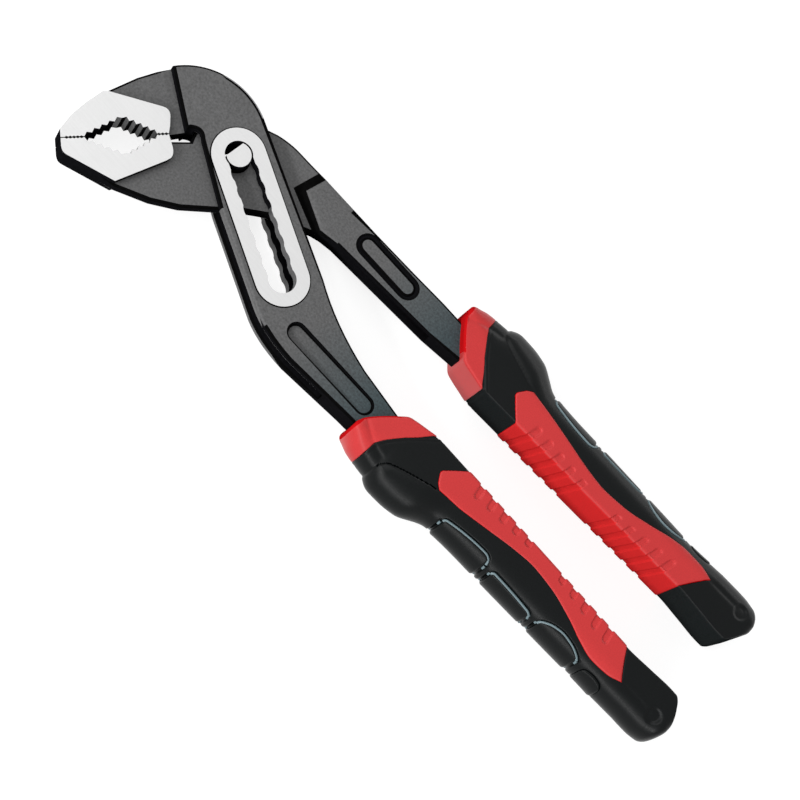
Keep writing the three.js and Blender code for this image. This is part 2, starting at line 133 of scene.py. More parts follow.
# Grips: u runs along the grip from the front of its collar, v from its inner wall outwards
HALF_THICKNESS = 8.5
FLAT_SHARE = 0.45
GRIP_START, GRIP_END = 1.3, 129
FRONT_ROUND = 1.3
TAIL_ROUND = 3
WIDTHS = [
    (0, 18.2), (2.8, 19.5), (6, 20.9), (9.5, 21.5), (13.6, 21.9), (15.2, 22.6), (18.5, 23.3), (23, 23.1),
    (28, 22.2), (33, 20.2), (38.5, 17.9), (48, 17.1), (60, 16.7), (85, 15.7), (105, 15), (117, 15),
    (121.5, 14.9), (125.5, 14.2), (127.6, 13), (129, 11.2),
]
WALLS = [
    (1, 13.4), (1.9, 12.3), (4.6, 8.7), (8, 4.8), (10.6, 2.3), (12.5, 1.7), (16.5, 0.8), (21, 0), (60, 0),
    (103, 0), (112, -0.7), (121.5, -1.5), (123.3, -1.5), (124.6, -0.7), (126.6, 2), (129, 5.4),
]
RIDGE_RADII = [(0, 1.3), (9, 1.1), (20, 0.8), (120, 0.8), (129, 0.9)]
COLLAR_EDGE = [
    (21.2, 0), (17, 4.6), (14.2, 7.6), (11.9, 10.7), (10.2, 13.2), (9.1, 15.4), (9, 16.5), (9.1, 30),
]
INLAY_EDGE = [
    (27, 11.9), (31, 11.3), (40, 9.9), (50, 7.9), (60, 5.9), (67, 5.1), (75, 5.6), (85, 7.7), (92, 9.7),
    (98, 10.7), (104, 10.3), (110, 8.4),
]
INLAY_FRONT = [(34, 0), (28.2, 6), (28.1, 6.8), (29.9, 9.6), (31.9, 11.2)]
INLAY_BACK = [(103, 0), (109.2, 8.8), (109.6, 12)]
CREASE = [(13, 21), (14.8, 18.2), (15.6, 17.2), (18, 16), (25.2, 13.4), (32, 11.3), (36, 10.6), (44, 9.6)]
VALLEY = [(0, 11.8), (2.5, 12.8), (6.6, 15), (11.5, 16.7), (15.5, 17.2), (20, 17.4)]
PADS = [
    [
        (38.9, 15.8), (39.4, 14.6), (40.6, 14.1), (52, 12.5), (54.6, 12.4), (56.3, 12.9), (57, 13.8),
        (57.2, 14.6),
    ],
    [(59.7, 15.4), (60.1, 14.5), (61, 14.1), (68, 14), (75, 14.1), (76.3, 14.4), (76.8, 14.9), (77, 15.4)],
    [
        (79.4, 14.8), (79.9, 13.8), (81.2, 12.9), (84, 11.8), (87.5, 11.3), (91, 11.6), (94.4, 12.5),
        (95.8, 13.2),
    ],
    [(98.4, 14.4), (98.9, 13.5), (100, 13), (102.5, 12.7), (104.8, 12.9), (106.2, 13.5), (106.8, 14.4)],
]
RIMMED_PADS = 3
TAIL_STRETCH = (108, 126)

# Collar: the rounded seam at its back, the shallow valley on it, and the painted deep red shade on its front
# edge
COLLAR_MIDDLE = 14.0
SEAM_DEPTH = 0.3
SEAM_ROUND = 0.35
SEAM_LINE = {"depth": 0.08, "behind": 1.2, "width": 0.35}
SHOULDER_RISE = 0.45
SHOULDER_REACH = (-0.2, 3.4, 10)
SHOULDER_FADE = (13, 15.5)
VALLEY_DEPTH = 0.24
VALLEY_WIDTH = 0.9
FRONT_FACE = (4.4, 24)
FRONT_NORMAL = -0.3
FRONT_NORMAL_FALL = 0.09
FRONT_NORMAL_SPAN = (16, 21)

# Black moulding: the raised lobe behind the collar, the beds of the inlay and pads, and the tail
LOBE_FRONT = 14.4
LOBE_FRONT_SLOPE = 0.9
LOBE_RISE = 1.1
LOBE_ROUND = 3.6
LOBE_FADE = (28, 37)
# Reach and width of the painted shadow along the foot of the lobe
CREASE_END = 31
CREASE_SIDE = 19.6
CREASE_SHADOW = (-0.33, 0.23)
INLAY_BED = 0.9
INLAY_BED_EDGE = (0.15, 0.7)
RIMMED_BED = {"sunk": 0.9, "gap": 0.7, "end_gap": 0.2}
PLAIN_BED = {"sunk": 0.5, "gap": 0.3, "end_gap": 0}
BED_EDGE = 0.2
TAIL_LINE = {"v": 8.6, "depth": 0.3, "width": 0.9, "swell": (107, 112), "ebb": (118, 123)}
TAIL_DIMPLE = (122.6, 8.2)
TAIL_DIMPLE_DEPTH = 0.7
TAIL_DIMPLE_RADII = (1.595, 2.9)

# Rows and columns of the grips' meshes: count, share that each end takes, and rows in it
ROUND_COUNTS = (6, 8, 44, 62)
SHELL_ROWS = (360, 0.01)
COLLAR_ROWS = (70, 0.03)
COLLAR_CROWDING = 1.2
INLAY_ROWS = (430, 0.009, 8)
INLAY_COLUMNS = (26, 0.06, 7)
INLAY_WALL_COLUMNS, INLAY_RIDGE_COLUMNS = 8, 7
PAD_ROWS = (60, 0.05, 8)
PAD_COLUMNS = (70, 0.04, 8)
BEAD_POINTS, END_GLINT_POINTS = 60, 12

# Parts of the grips painted with light or shade: how near the inner wall a face lies, and limits of its
# normal
WALL_REACH = 0.45
WALL_TILT = 0.5
OFF_WALL = 0.3

# Inlay and pads: how far their edges and roots sink into the moulding, and how round the edges are
INLAY_SINK = 0.3
INLAY_ROUND = 0.85
INLAY_ROOT = 1.4
INLAY_ENDS = (31.0, 109.0)
INLAY_LAST = 108.0
# Rows and columns at the inlay's edge that take the painted deep red shade
INLAY_RIM_FACES = (4, 3)
RIB_FIRST = (40, 75.3)
RIB_WALL_SLANT = 0.128
RIB_FACE_SLANT = 0.22
RIB_FULL_EDGE = 10.5
RIB_FLOOR_SHARE = 0.34
PAD_CLEAR = 0.4
PAD_SINK = 0.5
PAD_ROUND = 0.9
PAD_ROOT = 1.5
BEAD_SHIFT = 0.009
BEAD_DEPTH = 0.25
BEAD_ENDS = (0.3, 0.1)
BEAD_SIDES = 10
# Short pale pieces across the pads' ends, which paint glints
END_GLINT_GAP = 0.05
END_GLINT_REACH = (0.825, 0.862)
END_GLINT_DEPTH = 0.55

GRIPS = {
    "outer": {
        "place": (80, -13.6), "turn": 0, "side": -1, "stretch": 1, "tail": 0,
        "swell": [(34, 1), (40, 1.035), (106, 1.035), (116, 1)],
    },
    "inner": {
        "place": (79, 5.72), "turn": math.radians(3.07), "side": 1, "stretch": 0.994, "tail": -0.2,
        "swell": [(100, 1), (112, 1.05)],
    },
}

# Stretches of a section's upper half: wall, ridge, face and round outer side, which is about 15 mm long
T_WALL, T_RIDGE, T_FACE = 0.26, 0.31, 0.58
ROUND_LENGTH = 15

# Shares of the ends' rounding that the wall and the outer side take
WALL_DROP, SIDE_DROP = 0.3, 0.6

# A distance that lies beyond every edge
FAR = 99

# Moulded materials: colour and share of it, roughness, grain and specular level
MOULDED = {
    "black_rubber": ("black_colour", 1, 0.34, 0.25, 0.125),
    # Lighter matte copy of the black for the inner walls: painted light
    "black_wall": ("black_wall_colour", 1, 0.7, 0.25, 0),
    # Black at half strength, matte, along the foot of the lobe: painted shadow
    "black_crease": ("black_colour", 0.5, 0.7, 0.25, 0),
    "red_rubber": ("red_colour", 1, 0.36, 0.08, 0.16),
    # Brighter matte copy of the red for the inner walls: painted light
    "red_wall": ("red_wall_colour", 1, 0.7, 0.08, 0),
    # Deeper matte red for the collars' fronts and the inlays' rims: painted shade
    "red_rim": ("red_rim_colour", 1, 0.7, 0.08, 0),
    # Pale beads round the pads and short pieces across their ends: painted highlights and glints
    "pale_rim": ("rim_colour", 1, 0.35, 0.1, 0.3),
}

# Middle of a noise's values, and where along x the steel turns from grey to the painted bluish reflection, in
# metres
NOISE_SPAN = (0.3, 0.7)
BLUE_REFLECTION_SPAN = (-0.032, -0.002)

# Stage: power, place and size of the lights in metres, and the camera
LIGHTS = {
    "key_light": ("key_power", (-0.25, -0.77, 0.54), (2.2, 0.15)),
    "top_light": ("fill_power", (-0.5, 0.05, 0.85), (0.9, 0.7)),
    "rim_light": ("rim_power", (0.15, 0.95, 0.2), (1.6, 0.2)),
}
FLOOR_HALF = 3.0
FLOOR_GLOW = 0.82
CAMERA_PLACE = Vector((-18.76, -284.56, 702.23)) * MM
CAMERA_RIGHT = Vector((0.6689, 0.6833, 0.2926))
CAMERA_FORWARD = Vector((0.0264, 0.3715, -0.928))
CAMERA_SENSOR = 36


class SteelSettings(bpy.types.PropertyGroup):
    """Finish of the forged levers and the pin"""

    face_colour: FloatVectorProperty(
        name="Face", description="Blackened, grained faces of the forgings", subtype="COLOR",
        default=(0.08, 0.08, 0.081))
    # Blackened steel made darker as painted shade, for walls turned from the light, the slot near the pin and
    # the box's cavity; the recess floor takes it too
    wall_colour: FloatVectorProperty(
        name="Side walls", description="Black side walls, teeth and edges", subtype="COLOR",
        default=(0.006, 0.006, 0.007))
    # Painted bluish reflection, darker than the faces, on the shanks towards the grips
    blue_reflection_colour: FloatVectorProperty(
        name="Painted blue reflection", description="Bluish tint of the shanks towards the grips", subtype="COLOR",
        default=(0.022, 0.038, 0.043))
    slot_colour: FloatVectorProperty(
        name="Slot walls", description="Grey walls inside the slot", subtype="COLOR",
        default=(0.075, 0.075, 0.077))
    # Near-black painted shade for the upper rims, the feet of steps, slopes turned from the light and tooth
    # flanks
    edge_shade_colour: FloatVectorProperty(
        name="Round edges", description="Black rounded edges of the forgings", subtype="COLOR",
        default=(0.003, 0.003, 0.003))
    # Pale painted highlight on the back of the box
    edge_highlight_colour: FloatVectorProperty(
        name="Painted edge highlight", description="Pale edge on the back of the box", subtype="COLOR",
        default=(0.36, 0.36, 0.365))
    ground_colour: FloatVectorProperty(
        name="Ground steel", description="Bright ground jaws, slot land and pin", subtype="COLOR",
        default=(0.585, 0.585, 0.585))
    edge_radius: FloatProperty(
        name="Edge radius", description="Rounding of the forgings' outer edges", unit="LENGTH",
        default=1.25 * MM)


class GripSettings(bpy.types.PropertyGroup):
    """Moulding of the two grips"""

    black_colour: FloatVectorProperty(
        name="Black", description="Black rubber of the grips", subtype="COLOR",
        default=(0.0022, 0.003, 0.0032))
    red_colour: FloatVectorProperty(
        name="Red", description="Red collar and inlay", subtype="COLOR", default=(0.54, 0.038, 0.039))
    # Lighter than the black, for the inner walls: painted light
    black_wall_colour: FloatVectorProperty(
        name="Black walls", description="Matte inner walls of the black rubber", subtype="COLOR",
        default=(0.0145, 0.0175, 0.018))
    # Brighter than the red, for the inner walls: painted light
    red_wall_colour: FloatVectorProperty(
        name="Red walls", description="Matte inner walls of the red rubber", subtype="COLOR",
        default=(0.66, 0.026, 0.027))
    # Deeper red on thin edges and collar fronts: painted shade
    red_rim_colour: FloatVectorProperty(
        name="Red rims", description="Deep red of the inlay's and collar's thin edges", subtype="COLOR",
        default=(0.5, 0.006, 0.008))
    # Pale colour of the pad beads and end glints: painted highlights
    rim_colour: FloatVectorProperty(
        name="Pad rims", description="Pale beads round the finger pads", subtype="COLOR",
        default=(0.155, 0.215, 0.235))
    inlay_height: FloatProperty(
        name="Inlay height", description="How far the red inlay stands proud", unit="LENGTH",
        default=0.3 * MM)
    pad_height: FloatProperty(
        name="Pad height", description="How far the finger pads stand proud", unit="LENGTH",
        default=0.3 * MM)
    rim_radius: FloatProperty(
        name="Rim radius", description="Radius of the bead round a finger pad", unit="LENGTH",
        default=0.45 * MM)
    rib_count: IntProperty(name="Ribs", description="Grooves in each group on the inlay", default=5)
    rib_pitch: FloatProperty(
        name="Rib pitch", description="Distance from groove to groove", unit="LENGTH", default=5.15 * MM)
    rib_width: FloatProperty(
        name="Rib width", description="Width of a groove", unit="LENGTH", default=2.5 * MM)
    rib_length: FloatProperty(
        name="Rib length", description="How far a groove runs onto the face", unit="LENGTH",
        default=3.6 * MM)
    rib_depth: FloatProperty(
        name="Rib depth", description="Depth of a groove", unit="LENGTH", default=0.45 * MM)


class StageSettings(bpy.types.PropertyGroup):
    """Floor, lights and camera"""

    floor_colour: FloatVectorProperty(
        name="Floor", description="Pale studio floor", subtype="COLOR", default=(0.3, 0.3, 0.3))
    world_strength: FloatProperty(name="World", description="Even light from all round", default=0.34)
    key_power: FloatProperty(
        name="Key light", description="Long low strip beside the camera", unit="POWER", default=13)
    fill_power: FloatProperty(
        name="Top light", description="Broad light from above", unit="POWER", default=4.2)
    rim_power: FloatProperty(
        name="Rim light", description="Low strip behind the part", unit="POWER", default=2.4)
    lens: FloatProperty(
        name="Lens", description="Focal length on a 36 mm sensor, in millimetres", default=114.2)


# Curves and surfaces of the grips

def curve_through(pairs):
    """Smooth function through pairs of numbers."""
    x, y = np.array(pairs, float).T
    rise = np.diff(y) / np.diff(x)
    slope = np.zeros_like(y)
    steady = rise[:-1] * rise[1:] > 0
    slope[1:-1][steady] = 2 * (rise[:-1] * rise[1:])[steady] / (rise[:-1] + rise[1:])[steady]
    slope[0], slope[-1] = rise[0], rise[-1]

    def at(u):
        u = np.clip(u, x[0], x[-1])
        i = np.clip(np.searchsorted(x, u) - 1, 0, len(x) - 2)
        step = x[i + 1] - x[i]
        s = (u - x[i]) / step
        ends = y[i] * (1 + 2 * s) * (1 - s) ** 2 + y[i + 1] * s ** 2 * (3 - 2 * s)
        return ends + step * (slope[i] * s * (1 - s) ** 2 - slope[i + 1] * s ** 2 * (1 - s))

    return at


def straight_through(pairs):
    """Function through pairs of numbers, straight between them."""
    x, y = np.array(pairs, float).T
    return lambda u: np.interp(u, x, y)


def swapped(pairs):
    return [(b, a) for a, b in pairs]


width_at = curve_through(WIDTHS)
wall_at = curve_through(WALLS)
ridge_at = straight_through(RIDGE_RADII)
inlay_edge_at = curve_through(INLAY_EDGE)
inlay_front_at = straight_through(swapped(INLAY_FRONT))
inlay_back_at = straight_through(swapped(INLAY_BACK))
collar_edge_at = straight_through(swapped(COLLAR_EDGE))
crease_at = curve_through(CREASE)
valley_at = curve_through(VALLEY)


def ramp(x, low, high):
    """Smooth step from 0 at low to 1 at high."""
    s = np.clip((x - low) / (high - low), 0, 1)
    return s * s * (3 - 2 * s)


def quarter_round(distance, radius):
    """Height, from 0 to 1, of a rounded edge at a distance from it."""
    return np.sqrt(1 - (1 - np.clip(distance / radius, 0, 1)) ** 2)


def section_sizes(u):
    front = FRONT_ROUND * (1 - quarter_round(u - GRIP_START, FRONT_ROUND))
    tail = TAIL_ROUND * (1 - quarter_round(GRIP_END - u, TAIL_ROUND))
    drop = front + tail
    wall = wall_at(u) + WALL_DROP * drop
    width = width_at(u) - SIDE_DROP * drop
    half = HALF_THICKNESS - drop
    return wall, width, half, wall + FLAT_SHARE * (width - wall), ridge_at(u)


def section(u, t):
    """Point (v, z) on the upper half of a grip's section, from mid wall (t 0) to mid outer side (t 1)."""
    wall, width, half, flat, ridge = section_sizes(u)
    turn = np.clip((t - T_WALL) / (T_RIDGE - T_WALL), 0, 1) * math.pi / 2
    face = np.clip((t - T_RIDGE) / (T_FACE - T_RIDGE), 0, 1)
    bend = np.clip((t - T_FACE) / (1 - T_FACE), 0, 1) * math.pi / 2
    v = wall + ridge * (1 - np.cos(turn)) + face * (flat - wall - ridge) + (width - flat) * np.sin(bend)
    z = (half - ridge) * np.clip(t / T_WALL, 0, 1) + ridge * np.sin(turn)
    return v, np.where(t > T_FACE, half * np.cos(bend), z)


def t_of_v(u, v):
    """Where the upper half of the section reaches v on its face or its round side."""
    wall, width, _, flat, ridge = section_sizes(u)
    face = T_RIDGE + (T_FACE - T_RIDGE) * (v - wall - ridge) / (flat - wall - ridge)
    bend = np.arcsin(np.clip((v - flat) / (width - flat), 0, 1))
    return np.where(v < flat, np.clip(face, T_RIDGE, T_FACE), T_FACE + (1 - T_FACE) * bend * 2 / math.pi)


def grip_axes(grip):
    """Unit directions along and across a grip, and up."""
    along = np.array([math.cos(grip["turn"]), math.sin(grip["turn"]), 0])
    return along, grip["side"] * np.array([-along[1], along[0], 0]), np.array([0, 0, 1])


def place(grip, u, v, z):
    """Grid of points in metres from grip coordinates in millimetres."""
    along, across, up = grip_axes(grip)
    origin = PIVOT + np.array([*grip["place"], 0])
    far = u * grip["stretch"] + grip["tail"] * ramp(u, *TAIL_STRETCH)
    wide = v * straight_through(grip["swell"])(u)
    flat = origin + np.multiply.outer(far, along) + np.multiply.outer(wide, across)
    return (flat + np.multiply.outer(z, up)) * MM


def surface(grip, u, q):
    """Grid of points on a grip: q is t with the sign of the half, upper above 0 and lower below."""
    v, z = section(u, np.abs(q))
    return place(grip, u, v, np.where(q < 0, -z, z))


def outward(grip, u, q):
    """Unit normals of the grip's surface."""
    step_u, step_q = 0.05, 0.002
    along = surface(grip, u + step_u, q) - surface(grip, u - step_u, q)
    around = surface(grip, u, np.clip(q + step_q, -1, 1)) - surface(grip, u, np.clip(q - step_q, -1, 1))
    normal = np.cross(along, around) * grip["side"]
    return normal / np.maximum(np.linalg.norm(normal, axis=-1, keepdims=True), 1e-12)


def raised(grip, u, q, height):
    """Grid of points at a height in millimetres over a grip's surface."""
    return surface(grip, u, q) + outward(grip, u, q) * (height * MM)[..., None]


def edged(count, edge, rows=6):
    """Spacing from 0 to 1 with extra rows close to both ends, edge being the ends' share."""
    near = edge * (1 - np.cos(np.linspace(0, math.pi / 2, rows)))
    middle = np.linspace(edge, 1 - edge, count)[1:-1]
    return np.concatenate([near, middle, 1 - near[::-1]])


# Meshes

def linked(name, data, *materials):
    """New object in the scene with the given data and materials."""
    for material in materials:
        data.materials.append(material)
    made = bpy.data.objects.new(name, data)
    bpy.context.scene.collection.objects.link(made)
    return made


def new_piece(name, vertices, faces, *materials):
    """Smooth piece with merged points and outward normals."""
    mesh = bpy.data.meshes.new(name)
    mesh.from_pydata([tuple(p) for p in vertices], [], faces)
    work = bmesh.new()
    work.from_mesh(mesh)
    bmesh.ops.remove_doubles(work, verts=work.verts, dist=1e-7)
    bmesh.ops.recalc_face_normals(work, faces=work.faces)
    for face in work.faces:
        face.smooth = True
    work.to_mesh(mesh)
    work.free()
    return linked(name, mesh, *materials)


def grid_faces(rows, columns, offset=0, closed=False):
    """Faces between rows of points, each row closed to a ring or left open."""
    count = columns if closed else columns - 1
    faces = []
    for i in range(rows - 1):
        for j in range(count):
            a, b = offset + i * columns + j, offset + i * columns + (j + 1) % columns
            faces.append((a, b, b + columns, a + columns))
    return faces


def solid_patch(name, top, under, *materials):
    """Closed piece between two grids of points of the same size."""
    rows, columns = top.shape[:2]
    size = rows * columns
    faces = grid_faces(rows, columns) + grid_faces(rows, columns, size)
    rim = list(range(columns))
    rim += [i * columns + columns - 1 for i in range(1, rows)]
    rim += [(rows - 1) * columns + j for j in range(columns - 2, -1, -1)]
    rim += [i * columns for i in range(rows - 2, 0, -1)]
    faces += [(a, b, b + size, a + size) for a, b in zip(rim, rim[1:] + rim[:1])]
    return new_piece(name, np.concatenate([top.reshape(-1, 3), under.reshape(-1, 3)]), faces, *materials)


def solid_tube(name, rings, *materials):
    """Closed piece through closed rings of points, with flat ends."""
    rows, columns = rings.shape[:2]
    faces = grid_faces(rows, columns, closed=True)
    faces += [tuple(range(columns)), tuple((rows - 1) * columns + j for j in range(columns))]
    return new_piece(name, rings.reshape(-1, 3), faces, *materials)


def finished(piece):
    """Turns an object with its modifiers into one plain mesh."""
    graph = bpy.context.evaluated_depsgraph_get()
    mesh = bpy.data.meshes.new_from_object(piece.evaluated_get(graph))
    old = piece.data
    piece.modifiers.clear()
    piece.data = mesh
    bpy.data.meshes.remove(old)
    mesh.name = piece.name
    return piece


def settle(piece, body, slot, *nodes):
    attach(piece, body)
    if nodes:
        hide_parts(*nodes)


# Materials

def new_material(name, colour, roughness, metallic=0, specular=0.5):
    material = bpy.data.materials.new(name)
    material.use_nodes = True
    shader = material.node_tree.nodes["Principled BSDF"]
    shader.inputs["Base Color"].default_value = (*colour, 1)
    shader.inputs["Roughness"].default_value = roughness
    shader.inputs["Metallic"].default_value = metallic
    shader.inputs["Specular IOR Level"].default_value = specular
    return material, material.node_tree, shader


def noise(tree, scale, detail=3, roughness=0.6, stretch=(1, 1, 1), turn=0):
    """Noise on Object coordinates, scale in waves per metre."""
    place_node = tree.nodes.new("ShaderNodeTexCoord")
    mapping = tree.nodes.new("ShaderNodeMapping")
    mapping.inputs["Scale"].default_value = stretch
    mapping.inputs["Rotation"].default_value = (0, 0, turn)
    texture = tree.nodes.new("ShaderNodeTexNoise")
    texture.inputs["Scale"].default_value = scale
    texture.inputs["Detail"].default_value = detail
    texture.inputs["Roughness"].default_value = roughness
    tree.links.new(place_node.outputs["Object"], mapping.inputs["Vector"])
    tree.links.new(mapping.outputs["Vector"], texture.inputs["Vector"])
    return texture.outputs["Fac"]


def spread(tree, value, low, high, to_low, to_high):
    """Value stretched from one span of numbers to another, and clamped to it."""
    node = tree.nodes.new("ShaderNodeMapRange")
    for socket, number in zip(("From Min", "From Max", "To Min", "To Max"), (low, high, to_low, to_high)):
        node.inputs[socket].default_value = number
    tree.links.new(value, node.inputs["Value"])
    return node.outputs["Result"]


def mixed(tree, factor, first, second):
    """Colour between two colours or sockets."""
    node = tree.nodes.new("ShaderNodeMix")
    node.data_type = "RGBA"
    tree.links.new(factor, node.inputs["Factor"])
    for socket, colour in ((node.inputs[6], first), (node.inputs[7], second)):
        if isinstance(colour, bpy.types.NodeSocket):
            tree.links.new(colour, socket)
        else:
            socket.default_value = (*colour, 1)
    return node.outputs[2]


def bumped(tree, shader, height, strength, distance):
    """Gives a shader fine relief, with the distance in metres."""
    bump = tree.nodes.new("ShaderNodeBump")
    bump.inputs["Strength"].default_value = strength
    bump.inputs["Distance"].default_value = distance
    tree.links.new(height, bump.inputs["Height"])
    tree.links.new(bump.outputs["Normal"], shader.inputs["Normal"])


def shade(colour, share):
    """A colour times a number."""
    return tuple(channel * share for channel in colour)


def grained_colour(tree, factor, colour, low, high):
    """Colour that varies with a factor from a low to a high share of itself."""
    return mixed(tree, factor, shade(colour, low), shade(colour, high))


def grained_steel(name, colour, low, high, roughness, specular):
    """Dull steel with a fine grain, and that grain."""
    material, tree, shader = new_material(name, colour, roughness, specular=specular)
    grain = noise(tree, 900)
    tree.links.new(grained_colour(tree, grain, colour, low, high), shader.inputs["Base Color"])
    return material, tree, shader, grain


def face_steel(steel):
    """Grained face of a forging, grey on the jaws, with a painted bluish, darker reflection towards the
    grips.
    """
    material, tree, shader = new_material("blackened_steel_face", steel.face_colour, 0.55, specular=0.35)
    grain = noise(tree, 1400, detail=4)
    cloud = noise(tree, 60, detail=2)
    contrast = spread(tree, grain, *NOISE_SPAN, 0, 1)
    grey = grained_colour(tree, contrast, steel.face_colour, 0.66, 1.3)
    blue = grained_colour(tree, contrast, steel.blue_reflection_colour, 0.5, 1.5)
    place_node = tree.nodes.new("ShaderNodeTexCoord")
    split = tree.nodes.new("ShaderNodeSeparateXYZ")
    tree.links.new(place_node.outputs["Object"], split.inputs[0])
    towards_grip = spread(tree, split.outputs["X"], *BLUE_REFLECTION_SPAN, 0, 1)
    tree.links.new(mixed(tree, towards_grip, grey, blue), shader.inputs["Base Color"])
    tree.links.new(spread(tree, cloud, *NOISE_SPAN, 0.48, 0.62), shader.inputs["Roughness"])
    bumped(tree, shader, grain, 0.4, 0.0002)
    return material


def wall_steel(steel):
    """Black side wall of a forging: blackened steel, darker than the faces as painted shade."""
    material, tree, shader, grain = grained_steel(
        "blackened_steel_wall", steel.wall_colour, 0.5, 1.6, 0.55, 0)
    tree.links.new(spread(tree, grain, *NOISE_SPAN, 0.32, 0.46), shader.inputs["Roughness"])
    bumped(tree, shader, grain, 0.15, 0.0002)
    return material


def ground_steel(steel):
    """Bright steel with faint grinding lines."""
    material, tree, shader = new_material("ground_steel", steel.ground_colour, 0.46, 0.3, 0.2)
    lines = noise(tree, 500, detail=4, stretch=(0.25, 6, 1), turn=math.radians(24))
    grain = noise(tree, 2200, detail=2)
    contrast = spread(tree, lines, 0.35, 0.65, 0, 1)
    colour = grained_colour(tree, contrast, steel.ground_colour, 0.98, 1.02)
    tree.links.new(colour, shader.inputs["Base Color"])
    tree.links.new(spread(tree, grain, *NOISE_SPAN, 0.4, 0.54), shader.inputs["Roughness"])
    bumped(tree, shader, lines, 0.06, 0.0001)
    return material


def steel_materials(steel):
    """Materials of the forgings, in the order of their finishes."""
    slot, *_ = grained_steel("slot_wall_steel", steel.slot_colour, 0.7, 1.3, 0.5, 0.3)
    # Near-black painted shade for rims, feet of steps, dark slopes and tooth flanks
    edge, *_ = grained_steel("black_round_edge", steel.edge_shade_colour, 0.5, 1.5, 0.5, 0)
    # Pale painted highlight for the back of the box
    back_edge, *_ = grained_steel("worn_edge", steel.edge_highlight_colour, 0.7, 1.3, 0.5, 0.2)
    return face_steel(steel), wall_steel(steel), ground_steel(steel), slot, edge, back_edge


def moulded_material(name, colour, roughness, grain_share, specular):
    """Fine-grained moulded rubber."""
    material, tree, shader = new_material(name, colour, roughness, specular=specular)
    grain = noise(tree, 2600, detail=2)
    cloud = noise(tree, 45, detail=2)
    contrast = spread(tree, grain, *NOISE_SPAN, 0, 1)
    fine = grained_colour(tree, contrast, colour, 1 - grain_share, 1 + grain_share)
    clouded = mixed(tree, spread(tree, cloud, *NOISE_SPAN, 0, 0.25), fine, shade(colour, 0.85))
    tree.links.new(clouded, shader.inputs["Base Color"])
    rough = spread(tree, grain, *NOISE_SPAN, roughness - 0.06, roughness + 0.06)
    tree.links.new(rough, shader.inputs["Roughness"])
    bumped(tree, shader, grain, 0.12, 0.0001)
    return material


def moulded(name, grip):
    """One of the moulded materials, made the first time that it is asked for."""
    colour, share, *finish = MOULDED[name]
    made = bpy.data.materials.get(name)
    return made or moulded_material(name, shade(getattr(grip, colour), share), *finish)


# Levers

def far_of_slot(point):
    """True on the back of the box, beyond the slot from the grip of the same lever."""
    return SLOT_AXIS[0] * point[1] - SLOT_AXIS[1] * point[0] > SLOT_WALL_REACH


def slot_distance(point):
    """Distance in plan from the line that the pin's axis slides along."""
    along = np.clip(point @ SLOT_AXIS, 0, SLOT_TRAVEL)
    return np.linalg.norm(point - along * SLOT_AXIS)


def in_plan(point):
    """Plan place from the pin's axis and height from mid-plane, in millimetres."""
    flat = np.array(point) / MM - PIVOT
    return flat[:2], flat[2]


def is_back(plan, level):
    """True on the outer outline of the box, beyond the slot."""
    return far_of_slot(plan) and abs(level) > BOX_EDGE_LEVEL and plan[0] < BACK_EBB[1]


def is_ground(plan, level):
    """True on the bright ground faces: the slot's land and the jaws' pads."""
    on_pad = plan[0] < 0 and abs(abs(level) - PAD_LEVEL) < LEVEL_SLACK
    return on_pad or abs(abs(level) - LAND_LEVEL) < LEVEL_SLACK


def back_share(plan, level):
    """How far, from 0 to 1, the outline takes the broad rounded edge of the back of the box."""
    if not is_back(plan, level):
        return 0
    return ramp(plan[0], *BACK_SWELL) * (1 - ramp(plan[0], *BACK_EBB))


def is_cheek(plan):
    """True on the box's outline in front of the slot, clear of the inner lever's jaw."""
    return CHEEK[0] < plan @ SLOT_AXIS < CHEEK[1] and not far_of_slot(plan)


def is_step(plan, level):
    """True at the step between the inner lever's thin middle and its shank."""
    return STEP[0] < plan[0] < STEP[1] and abs(level) > STEP_LEVEL


def is_cheek_wall(plan, level):
    """True on the lit walls in front of the slot, which taper out on the shank."""
    along = plan @ SLOT_AXIS
    return (level < 0 or along > CHEEK[0]) and along + CHEEK_WALL_TAPER * level < CHEEK_WALL_END


def cut_cheeks(work):
    """Divides the walls in front of the slot where the cheek and its lit walls begin and end."""
    for reach, taper in (CHEEK[0], 0), (CHEEK[1], 0), (CHEEK_WALL_END, CHEEK_WALL_TAPER):
        walls = []
        for face in work.faces:
            plan, _ = in_plan(face.calc_center_median())
            in_front = not far_of_slot(plan) and slot_distance(plan) > SLOT_WALL_REACH
            if abs(face.normal.z) < WALL_NORMAL and in_front:
                walls.append(face)
        parts = dict.fromkeys(part for face in walls for part in (*face.verts, *face.edges, face))
        middle = (PIVOT + reach * np.array([*SLOT_AXIS, 0])) * MM
        bmesh.ops.bisect_plane(work, geom=list(parts), plane_co=middle, plane_no=(*SLOT_AXIS, taper))


def closed_loops(edges):
    """Vertices in order round each closed border."""
    links = {}
    for edge in edges:
        for vertex in edge.verts:
            links.setdefault(vertex, []).append(edge)
    loops = []
    while links:
        vertex, loop = next(iter(links)), []
        while vertex in links:
            loop.append(vertex)
            ahead = [edge for edge in links.pop(vertex) if edge.other_vert(vertex) in links]
            vertex = ahead[0].other_vert(vertex) if ahead else None
        loops.append(loop)
    return loops


def flat_sides(work):
    """Broad dark sides of a forging, as lists of faces."""
    sides = []
    for sign in (1, -1):
        left = dict.fromkeys(face for face in work.faces if face.normal.z * sign > FLAT_NORMAL)
        while left:
            side, front = [], [left.popitem()[0]]
            while front:
                face = front.pop()
                side.append(face)
                for other in [other for edge in face.edges for other in edge.link_faces]:
                    if other in left:
                        del left[other]
                        front.append(other)
            area = sum(face.calc_area() for face in side)
            if area > BROAD_AREA * MM * MM and not is_ground(*in_plan(side[0].calc_center_median())):
                sides.append(side)
    return sides


